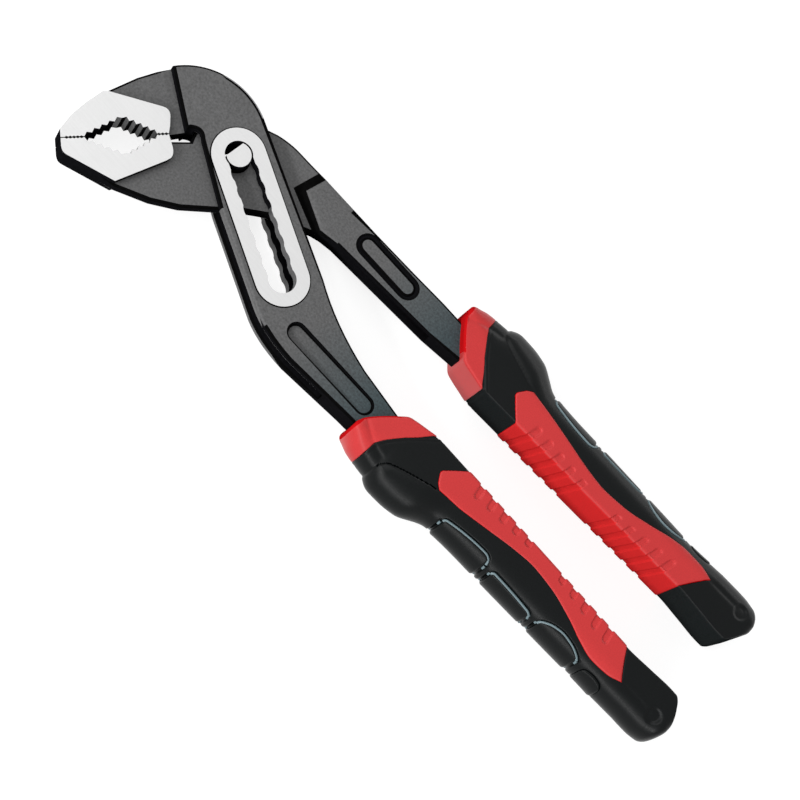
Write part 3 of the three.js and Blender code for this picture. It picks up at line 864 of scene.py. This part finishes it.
def inward_of(points):
    """Mitred directions towards the inside of a closed outline."""
    ahead = np.roll(points, -1, axis=0)
    turn = np.sign(np.sum(points[:, 0] * ahead[:, 1] - points[:, 1] * ahead[:, 0]))
    along = (ahead - points) / np.linalg.norm(ahead - points, axis=1, keepdims=True)
    after = turn * np.stack([-along[:, 1], along[:, 0]], axis=1)
    before = np.roll(after, 1, axis=0)
    return (before + after) / np.maximum(1 + np.sum(before * after, axis=1), MITRE_LIMIT)[:, None]


def strip(work, inner, outer, finishes):
    """Faces between two closed rings of vertices; returns the edges of the inner ring."""
    for i in range(len(inner)):
        face = work.faces.new((inner[i - 1], inner[i], outer[i], outer[i - 1]))
        face.material_index = finishes[i]
    return [work.edges.get((inner[i - 1], inner[i])) for i in range(len(inner))]


def round_rim(work, side, radius, is_box):
    """Rounds the outline of a flat side of a forging with painted shade on its upper rims and a painted
    highlight on the back's lower rings, and paints a strip of shadow round what stands on it.
    """
    up = math.copysign(1, side[0].normal.z)
    inside = set(side)
    border = [edge for face in side for edge in face.edges if len(inside & set(edge.link_faces)) == 1]
    hollow = {vertex for edge in border if not edge.is_convex for vertex in edge.verts}
    loops = closed_loops(border)
    spans = [np.ptp([vertex.co.x for vertex in loop]) for loop in loops]
    outline = loops.pop(int(np.argmax(spans)))
    bmesh.ops.delete(work, geom=side, context="FACES")
    points = np.array([vertex.co.xy for vertex in outline])
    inward = inward_of(points)
    back = np.array([is_box * back_share(*in_plan(vertex.co)) for vertex in outline])
    widths = radius * (PLAIN_EDGE + (1 - PLAIN_EDGE) * back)
    sink = 1 - BACK_SINK * back
    for i, vertex in enumerate(outline):
        plan, level = in_plan(vertex.co)
        # At concave corners the rim lies flat, as a strip of painted shadow
        if vertex in hollow:
            widths[i] = radius * (FOOT_SHADOW if plan[0] > STEP[0] else HAIRLINE)
            sink[i] = 0
        elif not is_box and is_step(plan, level):
            widths[i] *= STEP_EDGE
            sink[i] = STEP_SINK
    middles = [in_plan((vertex.co + outline[i - 1].co) / 2) for i, vertex in enumerate(outline)]
    grey = [is_cheek(plan) and level > 0 if is_box else is_step(plan, level) for plan, level in middles]
    # The upper side's rims take painted shade, except the grey ones in front of the slot and at the step
    upper = [PLAIN_RIM if plain else EDGE_SHADE if up > 0 else FACE for plain in grey]
    lower = list(upper)
    # Lower rings of the back's broad edge take the pale painted highlight
    for i, vertex in enumerate(outline):
        if back[i] > HIGHLIGHT_SHARE and in_plan(vertex.co)[0][0] < HIGHLIGHT_END:
            lower[i] = EDGE_HIGHLIGHT
    rings = []
    for plain, back_edge in zip(PLAIN_PROFILE, BACK_PROFILE):
        inset, drop = (widths * ((1 - back) * a + back * b) for a, b in zip(plain, back_edge))
        places = points + inward * inset[:, None]
        drop *= np.minimum(2 * sink, 1)
        rings.append([
            work.verts.new((x, y, vertex.co.z - up * d)) for (x, y), d, vertex in zip(places, drop, outline)])
    for vertex, depth in zip(outline, widths * sink):
        vertex.co.z -= up * depth
    rings.append(outline)
    edges = strip(work, rings[0], rings[1], upper)
    for inner, outer in zip(rings[1:], rings[2:]):
        strip(work, inner, outer, lower)
    # A strip of painted shadow round each thing that stands on the face
    for loop in loops:
        points = np.array([vertex.co.xy for vertex in loop])
        clear = points - inward_of(points) * SHADOW_LINE_WIDTH * MM
        ring = [work.verts.new((x, y, vertex.co.z)) for (x, y), vertex in zip(clear, loop)]
        edges += strip(work, ring, loop, [EDGE_SHADE] * len(loop))
    bmesh.ops.triangle_fill(work, use_beauty=True, edges=edges, normal=(0, 0, up))


def in_mouth(point):
    """True at the teeth of the jaws' inner half."""
    beyond = Vector(point - MOUTH_TIP)
    along, away = beyond @ MOUTH_ALONG, abs(beyond.cross(MOUTH_ALONG))
    return along > MOUTH_MIDDLE and away < MOUTH_REACH * (2 - along / MOUTH_MIDDLE) + MOUTH_SLACK


def side_finish(plan, level, normal, is_box):
    """Finish of a wall or slope of a forging, with painted light on the box's walls and tooth flanks that
    face the light and painted shade on those turned away.
    """
    if in_mouth(plan):
        # Tooth flanks facing the tip take the face grey as painted light, the others painted shade
        below = FACE if normal.xy @ MOUTH_ALONG < 0 else EDGE_SHADE
        return below if is_box else GROUND
    if is_box and slot_distance(plan) < SLOT_WALL_REACH:
        # Slot walls near the pin take the dark wall finish as painted shadow
        return SLOT if plan @ SLOT_AXIS > SLOT_SHADOW_END else WALL
    if abs(normal.z) > WALL_NORMAL:
        # Slopes turned away from the light, and the inner lever's step, take painted shade
        return EDGE_SHADE if normal.x < STEP_DARK or (not is_box and is_step(plan, level)) else FACE
    # Walls that face the light take the grey face finish as painted light; the rest take the dark wall finish
    # as painted shade
    lit = plan[0] < BOX_WALLS[1] if far_of_slot(plan) else is_cheek_wall(plan, level)
    outer_wall = lit and plan[0] > BOX_WALLS[0] and slot_distance(plan) > CAVITY_REACH
    return FACE if is_box and outer_wall else WALL


def steel_finish(polygon, is_box):
    """Finish of a face of a forging that has none yet."""
    plan, level = in_plan(polygon.center)
    if abs(polygon.normal.z) < FLAT_NORMAL:
        return side_finish(plan, level, polygon.normal, is_box)
    if is_ground(plan, level):
        return GROUND
    # Flat faces deep in the box's cavity take the dark wall finish as painted shade, and the recess floor
    # takes it too
    in_cavity = is_box and abs(level) < CAVITY_LEVEL and plan[0] > BOX_WALLS[0]
    return WALL if in_cavity or abs(level - GROOVE_LEVEL) < LEVEL_SLACK else FACE


def steel_piece(node, name, steel, materials):
    """Finished copy of a forging: merged, with rounded edges and its faces' finishes."""
    is_box = node == "outer_lever"
    work = bmesh.new()
    work.from_mesh(frame["nodes"][node].data)
    bmesh.ops.remove_doubles(work, verts=work.verts, dist=MERGE_DISTANCE)
    ends = [vertex for vertex in work.verts if in_plan(vertex.co)[0][0] > SHANK_END]
    bmesh.ops.remove_doubles(work, verts=ends, dist=TANG_MERGE_DISTANCE)
    bmesh.ops.dissolve_limit(work, angle_limit=FLAT_ANGLE, verts=work.verts, edges=work.edges)
    if is_box:
        cut_cheeks(work)
    for side in flat_sides(work):
        round_rim(work, side, steel.edge_radius, is_box)
    bmesh.ops.remove_doubles(work, verts=work.verts, dist=2 * MERGE_DISTANCE)
    bmesh.ops.recalc_face_normals(work, faces=work.faces)
    mesh = bpy.data.meshes.new(name)
    work.to_mesh(mesh)
    work.free()
    piece = linked(name, mesh, *materials)
    mesh.shade_smooth()
    mesh.set_sharp_from_angle(angle=SHARP_ANGLE)
    for polygon in mesh.polygons:
        drawn = polygon.material_index
        polygon.material_index = drawn % PLAIN_RIM if drawn else steel_finish(polygon, is_box)
        polygon.use_smooth = abs(polygon.normal.z) < FLAT_NORMAL
    return piece


class PLIERS_OT_levers(bpy.types.Operator):
    """Makes the two forged levers and the pin with their ground, grained and black finishes"""

    bl_idname = "pliers.levers"
    bl_label = "Levers and Pin"

    def execute(self, context):
        steel = context.scene.pliers_steel
        materials = steel_materials(steel)
        for node, body, slot in (
            ("outer_lever", "outer", "dark_steel"),
            ("inner_lever", "inner", "dark_steel"),
            ("pivot_pin", "pin", "bright_steel"),
        ):
            settle(steel_piece(node, f"{node}_steel", steel, materials), body, slot, node)
        return {"FINISHED"}


# Grips

def inlay_depth(u, v, t):
    """Distance inside the inlay's outline, negative outside."""
    ahead = u - inlay_front_at(np.maximum(v, 0))
    behind = inlay_back_at(np.maximum(v, 0)) - u
    beside = np.where(t < T_RIDGE, FAR, inlay_edge_at(u) - v)
    return np.minimum(np.minimum(ahead, behind), beside)


def pad_depth(pad, u, v, t, end_gap):
    """Distance inside a finger pad's outline, with room at its ends, negative outside."""
    ends = end_gap + np.minimum(u - pad[0][0], pad[-1][0] - u)
    return np.where(t > T_FACE, np.minimum(ends, v - curve_through(pad)(u)), -FAR)


def shoulder_height(u, v):
    """Shallow valley between the face and the round shoulder at the front of a grip."""
    beyond = v - valley_at(u)
    rise = SHOULDER_RISE * ramp(beyond, *SHOULDER_REACH[:2]) * (1 - ramp(beyond, *SHOULDER_REACH[1:]))
    return rise - VALLEY_DEPTH * np.exp(-(beyond / VALLEY_WIDTH) ** 2)


def lobe_depth(u, v, t):
    """Distance inside the outline of the raised lobe behind the collar, negative outside."""
    return np.where(t > T_RIDGE, np.minimum(LOBE_FRONT_SLOPE * (u - LOBE_FRONT), v - crease_at(u)), -FAR)


def shell_height(u, q):
    """Forms of the black moulding over its plain section, in millimetres."""
    t = np.abs(q)
    v, _ = section(u, t)
    height = -INLAY_BED * ramp(inlay_depth(u, v, t), *INLAY_BED_EDGE)
    for index, pad in enumerate(PADS):
        bed = RIMMED_BED if index < RIMMED_PADS else PLAIN_BED
        height -= bed["sunk"] * ramp(pad_depth(pad, u, v, t, bed["end_gap"]), -bed["gap"], BED_EDGE)
    from_collar = u - collar_edge_at(np.maximum(v, 0))
    height -= SEAM_DEPTH * (1 - quarter_round(from_collar, SEAM_ROUND))
    height -= SEAM_LINE["depth"] * np.exp(-((from_collar - SEAM_LINE["behind"]) / SEAM_LINE["width"]) ** 2)
    height += LOBE_RISE * quarter_round(lobe_depth(u, v, t), LOBE_ROUND) * (1 - ramp(u, *LOBE_FADE))
    height += shoulder_height(u, v) * (1 - ramp(u, *SHOULDER_FADE))
    aside = np.where(t > T_RIDGE, np.abs(v - TAIL_LINE["v"]), FAR) / TAIL_LINE["width"]
    fade = ramp(u, *TAIL_LINE["swell"]) * (1 - ramp(u, *TAIL_LINE["ebb"]))
    height -= TAIL_LINE["depth"] * np.exp(-aside ** 2) * fade
    dimple = np.hypot(u - TAIL_DIMPLE[0], v - TAIL_DIMPLE[1])
    height -= np.where(q > 0, TAIL_DIMPLE_DEPTH * (1 - ramp(dimple, *TAIL_DIMPLE_RADII)), 0)
    return height


def collar_line(q):
    """Where the collar meets the black moulding around a section."""
    v, _ = section(np.full_like(q, COLLAR_MIDDLE), np.abs(q))
    return collar_edge_at(np.maximum(v, 0))


def round_grid():
    """Signed places around a section, starting and ending next to the middle of the outer side."""
    ends = (0, T_WALL, T_RIDGE, T_FACE, 1)
    spans = zip(ends, ends[1:], ROUND_COUNTS)
    stretches = [np.linspace(low, high, count, endpoint=False) for low, high, count in spans]
    half = np.concatenate([*stretches, [1]])
    return np.concatenate([-half[:0:-1], half[:-1]])


def grip_places(piece, grip):
    """Grip coordinates of a piece's faces in millimetres, and their normals along, across and up."""
    axes = np.stack(grip_axes(grip), axis=1)
    centres, normals = np.empty((2, len(piece.data.polygons), 3))
    piece.data.polygons.foreach_get("center", centres.ravel())
    piece.data.polygons.foreach_get("normal", normals.ravel())
    places = (centres / MM - PIVOT - np.array([*grip["place"], 0])) @ axes
    places[:, 0] /= grip["stretch"]
    places[:, 1] /= straight_through(grip["swell"])(places[:, 0])
    return places, normals @ axes


def paint(piece, chosen, number):
    """Gives one of a piece's materials to the chosen faces."""
    numbers = np.empty(len(piece.data.polygons), np.int32)
    piece.data.polygons.foreach_get("material_index", numbers)
    numbers[chosen] = number
    piece.data.polygons.foreach_set("material_index", numbers)


def wall_faces(piece, grip):
    """Choice of the faces on a moulding's flat inner wall, which take a lighter matte copy of its colour as
    painted light.
    """
    places, normals = grip_places(piece, grip)
    return (places[:, 1] < wall_at(places[:, 0]) + WALL_REACH) & (np.abs(normals[:, 2]) < WALL_TILT)


def front_faces(piece, grip):
    """Choice of the faces on the front edge of a collar, which take the painted deep red shade."""
    places, normals = grip_places(piece, grip)
    v = places[:, 1]
    limit = FRONT_NORMAL - FRONT_NORMAL_FALL * (np.clip(v, *FRONT_NORMAL_SPAN) - FRONT_NORMAL_SPAN[0])
    return (v > FRONT_FACE[0]) & (v < FRONT_FACE[1]) & (normals[:, 0] < limit)


def crease_shadow_faces(piece, grip):
    """Choice of the faces along the foot of the raised lobe, which take a painted shadow."""
    places, normals = grip_places(piece, grip)
    u, v, _ = places.T
    off_wall = normals[:, 2] ** 2 + normals[:, 1].clip(0) ** 2 > OFF_WALL
    depth = lobe_depth(u, v, np.where(off_wall, 1, 0))
    return (depth > CREASE_SHADOW[0]) & (depth < CREASE_SHADOW[1]) & (u < CREASE_END) & (v < CREASE_SIDE)


def rim_faces(rows, columns, deep, wide):
    """Choice of the outermost faces of a patch's upper side, which on the inlays take the painted deep red
    shade.
    """
    i, j = np.divmod(np.arange((rows - 1) * (columns - 1)), columns - 1)
    return np.flatnonzero((np.minimum(i, rows - 2 - i) < deep) | (np.minimum(j, columns - 2 - j) < wide))


class PLIERS_OT_shells(bpy.types.Operator):
    """Makes the black mouldings of both grips"""

    bl_idname = "pliers.shells"
    bl_label = "Black Mouldings"

    def execute(self, context):
        settings = context.scene.pliers_grip
        for body, grip in GRIPS.items():
            q = round_grid()
            start = collar_line(q)
            u = start + np.multiply.outer(edged(*SHELL_ROWS), GRIP_END - start)
            q = np.broadcast_to(q, u.shape)
            materials = [moulded(name, settings) for name in ("black_rubber", "black_wall", "black_crease")]
            top = raised(grip, u, q, shell_height(u, q))
            piece = solid_tube(f"{body}_grip_moulding", top, *materials)
            # The inner wall takes the lighter matte black as painted light
            paint(piece, wall_faces(piece, grip), 1)
            # On the outer grip a painted shadow runs along the foot of the lobe
            if grip["side"] < 0:
                paint(piece, crease_shadow_faces(piece, grip), 2)
            settle(piece, body, "black_grip", f"{body}_grip_shell", f"{body}_grip_core")
        return {"FINISHED"}


class PLIERS_OT_collars(bpy.types.Operator):
    """Makes the red collars at the front of both grips"""

    bl_idname = "pliers.collars"
    bl_label = "Red Collars"

    def execute(self, context):
        settings = context.scene.pliers_grip
        for body, grip in GRIPS.items():
            q = round_grid()
            end = collar_line(q)
            u = GRIP_START + np.multiply.outer(edged(*COLLAR_ROWS) ** COLLAR_CROWDING, end - GRIP_START)
            q = np.broadcast_to(q, u.shape)
            v, _ = section(u, np.abs(q))
            height = shoulder_height(u, v) * (np.abs(q) > T_RIDGE)
            height -= SEAM_DEPTH * (1 - quarter_round(end - u, SEAM_ROUND))
            materials = [moulded(name, settings) for name in ("red_rubber", "red_rim")]
            piece = solid_tube(f"{body}_grip_collar_red", raised(grip, u, q, height), *materials)
            # The collar's front edge takes the painted deep red shade
            paint(piece, front_faces(piece, grip), 1)
            settle(piece, body, "red_grip", f"{body}_grip_collar")
        return {"FINISHED"}


def new_tree(name, **inputs):
    """New geometry nodes with named inputs, a material last, and their input sockets."""
    tree = bpy.data.node_groups.new(name, "GeometryNodeTree")
    for label, kind in {"Geometry": "Geometry", **inputs, "Material": "Material"}.items():
        tree.interface.new_socket(name=label, in_out="INPUT", socket_type=f"NodeSocket{kind}")
    tree.interface.new_socket(name="Geometry", in_out="OUTPUT", socket_type="NodeSocketGeometry")
    return tree, tree.nodes.new("NodeGroupInput").outputs


def math_node(tree, operation, *values):
    """Result of a mathematical operation on numbers or sockets."""
    node = tree.nodes.new("ShaderNodeMath")
    node.operation = operation
    for socket, value in zip(node.inputs, values):
        if isinstance(value, bpy.types.NodeSocket):
            tree.links.new(value, socket)
        else:
            socket.default_value = value
    return node.outputs[0]


def end_tree(tree, source, geometry):
    """Ends a tree: instances made real, and the material set."""
    real = tree.nodes.new("GeometryNodeRealizeInstances")
    finish = tree.nodes.new("GeometryNodeSetMaterial")
    tree.links.new(geometry, real.inputs[0])
    tree.links.new(real.outputs[0], finish.inputs["Geometry"])
    tree.links.new(source["Material"], finish.inputs["Material"])
    tree.links.new(finish.outputs[0], tree.nodes.new("NodeGroupOutput").inputs[0])


def add_nodes(piece, tree, **values):
    """Adds a tree to a piece and sets its named inputs."""
    modifier = piece.modifiers.new(tree.name, "NODES")
    modifier.node_group = tree
    for item in tree.interface.items_tree:
        if item.in_out == "INPUT" and item.name in values:
            modifier[item.identifier] = values[item.name]


def rib_tree():
    """Geometry nodes that press a row of round-ended grooves into a moulding.

    The moulding's rib_along and rib_reach attributes say how far along it and out on its face a point lies.
    """
    lengths = dict.fromkeys(("First", "Pitch", "Width", "Length", "Depth"), "Float")
    tree, source = new_tree("rib_grooves", **lengths, Count="Int")
    fields = {}
    for name in ("rib_along", "rib_reach"):
        node = tree.nodes.new("GeometryNodeInputNamedAttribute")
        node.data_type = "FLOAT"
        node.inputs["Name"].default_value = name
        fields[name] = node.outputs["Attribute"]
    past = math_node(tree, "SUBTRACT", fields["rib_along"], source["First"])
    index = math_node(tree, "ROUND", math_node(tree, "DIVIDE", past, source["Pitch"]))
    last = math_node(tree, "SUBTRACT", source["Count"], 1)
    index = math_node(tree, "MINIMUM", math_node(tree, "MAXIMUM", index, 0), last)
    aside = math_node(tree, "SUBTRACT", past, math_node(tree, "MULTIPLY", index, source["Pitch"]))
    over = math_node(tree, "MAXIMUM", math_node(tree, "SUBTRACT", fields["rib_reach"], source["Length"]), 0)
    squares = [math_node(tree, "MULTIPLY", x, x) for x in (aside, over)]
    distance = math_node(tree, "SQRT", math_node(tree, "ADD", *squares))
    half = math_node(tree, "MULTIPLY", source["Width"], 0.5)
    floor = math_node(tree, "MULTIPLY", source["Width"], RIB_FLOOR_SHARE)
    press = tree.nodes.new("ShaderNodeMapRange")
    press.interpolation_type = "SMOOTHSTEP"
    tree.links.new(distance, press.inputs["Value"])
    tree.links.new(floor, press.inputs["From Min"])
    tree.links.new(half, press.inputs["From Max"])
    tree.links.new(math_node(tree, "MULTIPLY", source["Depth"], -1), press.inputs["To Min"])
    press.inputs["To Max"].default_value = 0
    scale = tree.nodes.new("ShaderNodeVectorMath")
    scale.operation = "SCALE"
    tree.links.new(tree.nodes.new("GeometryNodeInputNormal").outputs[0], scale.inputs[0])
    tree.links.new(press.outputs["Result"], scale.inputs["Scale"])
    move = tree.nodes.new("GeometryNodeSetPosition")
    tree.links.new(source["Geometry"], move.inputs["Geometry"])
    tree.links.new(scale.outputs[0], move.inputs["Offset"])
    end_tree(tree, source, move.outputs[0])
    return tree


def store(piece, name, values):
    """Stores a grid of values, in millimetres, as an attribute of the first points of a piece."""
    attribute = piece.data.attributes.new(name, "FLOAT", "POINT")
    lengths = np.full(len(piece.data.vertices), float(FAR))
    lengths[:values.size] = values.ravel() * MM
    attribute.data.foreach_set("value", lengths.astype(np.float32))


def inlay_columns():
    """Columns across the inlay: signed places on the wall and ridge, and shares of the face beyond them."""
    wall = np.linspace(0, T_WALL, INLAY_WALL_COLUMNS, endpoint=False)
    ridge = np.linspace(T_WALL, T_RIDGE, INLAY_RIDGE_COLUMNS, endpoint=False)
    face = edged(*INLAY_COLUMNS)
    base = np.concatenate([wall, ridge, np.full_like(face, T_RIDGE)])
    share = np.concatenate([0 * wall, 0 * ridge, face])
    return np.concatenate([-base[:0:-1], base]), np.concatenate([-share[:0:-1], share])


class PLIERS_OT_inlays(bpy.types.Operator):
    """Makes the red ribbed inlays of both grips"""

    bl_idname = "pliers.inlays"
    bl_label = "Red Inlays"

    def execute(self, context):
        settings = context.scene.pliers_grip
        tree = rib_tree()
        for body, grip in GRIPS.items():
            piece = self.inlay(body, grip, settings)
            for first in RIB_FIRST:
                add_nodes(
                    piece, tree, First=first * MM, Pitch=settings.rib_pitch, Width=settings.rib_width,
                    Length=settings.rib_length, Depth=settings.rib_depth, Count=settings.rib_count,
                    Material=moulded("red_rubber", settings))
            finished(piece)
            piece.data.shade_smooth()
            for name in ("red_wall", "red_rim"):
                piece.data.materials.append(moulded(name, settings))
            # The inner wall takes the brighter matte red as painted light
            paint(piece, wall_faces(piece, grip), 1)
            # The inlay's outer rows and columns take the painted deep red shade
            paint(piece, rim_faces(*self.size, *INLAY_RIM_FACES), 2)
            settle(piece, body, "red_grip", f"{body}_grip_inlay")
        return {"FINISHED"}

    def inlay(self, body, grip, settings):
        """Plain inlay, with the attributes that its ribs need."""
        base, share = inlay_columns()
        front, back = INLAY_ENDS
        front_t = np.abs(base + share * (t_of_v(front, INLAY_FRONT[-1][1]) - T_RIDGE))
        front_v, _ = section(np.full_like(front_t, front), front_t)
        start = inlay_front_at(np.maximum(front_v, 0))
        back_t = np.abs(base + share * (t_of_v(back, inlay_edge_at(back)) - T_RIDGE))
        back_v, _ = section(np.full_like(back_t, INLAY_LAST), back_t)
        end = inlay_back_at(np.maximum(back_v, 0))
        steps = edged(*INLAY_ROWS)
        u = start + np.multiply.outer(steps, end - start)
        q = base + share * (t_of_v(u, inlay_edge_at(u)) - T_RIDGE)
        t = np.abs(q)
        v, z = section(u, t)
        beside = np.where(t < T_RIDGE, FAR, inlay_edge_at(u) - v)
        depth = np.minimum(np.minimum(u - start, end - u), beside)
        height = (INLAY_SINK + settings.inlay_height / MM) * quarter_round(depth, INLAY_ROUND) - INLAY_SINK
        skin, normal = surface(grip, u, q), outward(grip, u, q)
        top = skin + normal * (height * MM)[..., None]
        self.size = top.shape[:2]
        root = skin - normal * INLAY_ROOT * MM
        piece = solid_patch(f"{body}_grip_inlay_red", top, root, moulded("red_rubber", settings))
        reach = np.where(t < T_RIDGE, 0, v)
        along = u - RIB_WALL_SLANT * (np.where(q < 0, -z, z) - HALF_THICKNESS) - RIB_FACE_SLANT * reach
        store(piece, "rib_along", along)
        store(piece, "rib_reach", reach * RIB_FULL_EDGE / inlay_edge_at(u))
        return piece


def bead_tree():
    """Geometry nodes that run a round bead along a path."""
    tree, source = new_tree("pad_rim_bead", Radius="Float", Sides="Int")
    path = tree.nodes.new("GeometryNodeMeshToCurve")
    circle = tree.nodes.new("GeometryNodeCurvePrimitiveCircle")
    sweep = tree.nodes.new("GeometryNodeCurveToMesh")
    sweep.inputs["Fill Caps"].default_value = True
    tree.links.new(source["Geometry"], path.inputs["Mesh"])
    tree.links.new(source["Radius"], circle.inputs["Radius"])
    tree.links.new(source["Sides"], circle.inputs["Resolution"])
    tree.links.new(path.outputs[0], sweep.inputs["Curve"])
    tree.links.new(circle.outputs[0], sweep.inputs["Profile Curve"])
    end_tree(tree, source, sweep.outputs[0])
    return tree


class PLIERS_OT_finger_pads(bpy.types.Operator):
    """Makes the finger pads on the outer side of both grips, and the beads round them, whose pale colour is a
    painted highlight, with painted glints at the pads' ends
    """

    bl_idname = "pliers.finger_pads"
    bl_label = "Finger Pads"

    def execute(self, context):
        settings = context.scene.pliers_grip
        tree = bead_tree()
        for body, grip in GRIPS.items():
            for index, pad in enumerate(PADS):
                clear = PAD_CLEAR if index < RIMMED_PADS else 0
                piece = self.pad(f"{body}_finger_pad_{index + 1}_rubber", grip, pad, clear, settings)
                settle(piece, body, "black_grip", f"{body}_finger_pad_{index + 1}")
            self.beads(body, grip, settings, tree)
        return {"FINISHED"}

    def pad(self, name, grip, pad, clear, settings):
        """One finger pad, with its ends clear of their beads."""
        steps = edged(*PAD_ROWS)
        across = 2 * edged(*PAD_COLUMNS) - 1
        start, end = pad[0][0] + clear, pad[-1][0] - clear
        u = np.multiply.outer(start + steps * (end - start), np.ones_like(across))
        top_t = t_of_v(u, curve_through(pad)(u))
        q = np.where(across < 0, -1, 1) * (1 - np.abs(across) * (1 - top_t))
        beside = (np.abs(q) - top_t) / (1 - T_FACE) * ROUND_LENGTH
        depth = np.minimum(np.minimum(u - start, end - u), beside)
        height = (PAD_SINK + settings.pad_height / MM) * quarter_round(depth, PAD_ROUND) - PAD_SINK
        base, normal = surface(grip, u, q), outward(grip, u, q)
        top = base + normal * (height * MM)[..., None]
        return solid_patch(name, top, base - normal * PAD_ROOT * MM, moulded("black_rubber", settings))

    def bead_paths(self, grip):
        """Paths beside each rimmed pad, and short ones across its ends for the painted glints, on both halves
        of a grip.
        """
        for pad in PADS[:RIMMED_PADS]:
            for half in (1, -1):
                u = np.linspace(pad[0][0] + BEAD_ENDS[0], pad[-1][0] - BEAD_ENDS[1], BEAD_POINTS)
                q = half * (t_of_v(u, curve_through(pad)(u)) + BEAD_SHIFT)
                yield surface(grip, u, q) - outward(grip, u, q) * BEAD_DEPTH * MM
                # Short pale pieces across each end paint glints
                for end in (pad[0][0] - END_GLINT_GAP, pad[-1][0] + END_GLINT_GAP):
                    q = half * np.linspace(*END_GLINT_REACH, END_GLINT_POINTS)
                    u = np.full_like(q, end)
                    yield surface(grip, u, q) - outward(grip, u, q) * END_GLINT_DEPTH * MM

    def beads(self, body, grip, settings, tree):
        """The beads of one grip, pale as a painted highlight, and its painted glints, as one piece."""
        points, edges = [], []
        for path in self.bead_paths(grip):
            edges += [(len(points) + i, len(points) + i + 1) for i in range(len(path) - 1)]
            points += [tuple(p) for p in path]
        mesh = bpy.data.meshes.new(f"{body}_pad_rims")
        mesh.from_pydata(points, edges, [])
        piece = linked(f"{body}_pad_rims", mesh)
        add_nodes(
            piece, tree, Radius=settings.rim_radius, Sides=BEAD_SIDES, Material=moulded("pale_rim", settings))
        finished(piece)
        piece.data.shade_smooth()
        settle(piece, body, "black_grip")


# Stage

def seen_rays(tree):
    """1 for rays that see the background, straight, reflected or through glass, and 0 for its light."""
    rays = tree.nodes.new("ShaderNodeLightPath").outputs
    seen = math_node(tree, "MAXIMUM", rays["Is Camera Ray"], rays["Is Transmission Ray"])
    return math_node(tree, "MAXIMUM", seen, rays["Is Glossy Ray"])


class PLIERS_OT_stage(bpy.types.Operator):
    """Sets up the pale floor, the soft lights and the camera"""

    bl_idname = "pliers.stage"
    bl_label = "Stage"

    def execute(self, context):
        stage = context.scene.pliers_stage
        self.floor(stage)
        self.world(context.scene, stage)
        for name, (power, place_m, size) in LIGHTS.items():
            self.lamp(name, getattr(stage, power), place_m, size)
        self.camera(context.scene, stage)
        context.scene.view_settings.view_transform = "Standard"
        return {"FINISHED"}

    def floor(self, stage):
        """Wide floor that glows where it is seen, so that it reads as a pale background."""
        corners = [(x * FLOOR_HALF, y * FLOOR_HALF, 0) for x, y in ((-1, -1), (1, -1), (1, 1), (-1, 1))]
        material, tree, shader = new_material("studio_floor", stage.floor_colour, 0.9)
        speckle = grained_colour(tree, noise(tree, 25, detail=2), stage.floor_colour, 0.99, 1)
        tree.links.new(speckle, shader.inputs["Base Color"])
        shader.inputs["Emission Color"].default_value = (1, 1, 1, 1)
        tree.links.new(spread(tree, seen_rays(tree), 0, 1, 0, FLOOR_GLOW), shader.inputs["Emission Strength"])
        new_piece("floor", corners, [(0, 1, 2, 3)], material)

    def world(self, scene, stage):
        """White where it is seen, and dimmer where it lights the part."""
        world = bpy.data.worlds.new("studio")
        scene.world = world
        world.use_nodes = True
        tree = world.node_tree
        background = tree.nodes["Background"]
        background.inputs["Color"].default_value = (1, 1, 1, 1)
        strength = spread(tree, seen_rays(tree), 0, 1, stage.world_strength, 1)
        tree.links.new(strength, background.inputs["Strength"])

    def lamp(self, name, power, place_m, size):
        """Rectangular light that faces the middle of the stage."""
        light = bpy.data.lights.new(name, "AREA")
        light.energy = power
        light.shape = "RECTANGLE"
        light.size, light.size_y = size
        lamp = linked(name, light)
        lamp.location = place_m
        lamp.rotation_euler = (-Vector(place_m)).to_track_quat("-Z", "Y").to_euler()

    def camera(self, scene, stage):
        """Camera that fits the part's outline as it is seen from its left front."""
        data = bpy.data.cameras.new("camera")
        data.lens = stage.lens
        data.sensor_width = CAMERA_SENSOR
        camera = linked("camera", data)
        back = -CAMERA_FORWARD.normalized()
        right = (CAMERA_RIGHT - back * CAMERA_RIGHT.dot(back)).normalized()
        turn = Matrix((right, back.cross(right), back)).transposed()
        camera.matrix_world = Matrix.Translation(CAMERA_PLACE) @ turn.to_4x4()
        scene.camera = camera


class PLIERS_PT_panel(bpy.types.Panel):
    """Lists the steps that dress the pliers"""

    bl_idname = "PLIERS_PT_panel"
    bl_label = "Water Pump Pliers"
    bl_space_type = "VIEW_3D"
    bl_region_type = "UI"
    bl_category = "Pliers"

    def draw(self, context):
        for operator in OPERATORS:
            self.layout.operator(operator.bl_idname)
        for name in SETTINGS:
            settings = getattr(context.scene, name)
            for key in settings.__annotations__:
                self.layout.prop(settings, key)


SETTINGS = {"pliers_steel": SteelSettings, "pliers_grip": GripSettings, "pliers_stage": StageSettings}
OPERATORS = (
    PLIERS_OT_stage, PLIERS_OT_levers, PLIERS_OT_shells, PLIERS_OT_collars, PLIERS_OT_inlays,
    PLIERS_OT_finger_pads,
)


def register():
    for kind in (*SETTINGS.values(), *OPERATORS, PLIERS_PT_panel):
        bpy.utils.register_class(kind)
    for name, kind in SETTINGS.items():
        setattr(bpy.types.Scene, name, PointerProperty(type=kind))


def unregister():
    for name in SETTINGS:
        delattr(bpy.types.Scene, name)
    for kind in reversed((*SETTINGS.values(), *OPERATORS, PLIERS_PT_panel)):
        bpy.utils.unregister_class(kind)


def main():
    register()
    bpy.ops.pliers.stage()
    bpy.ops.pliers.levers()
    bpy.ops.pliers.shells()
    bpy.ops.pliers.collars()
    bpy.ops.pliers.inlays()
    bpy.ops.pliers.finger_pads()


if __name__ == "__main__":
    main()
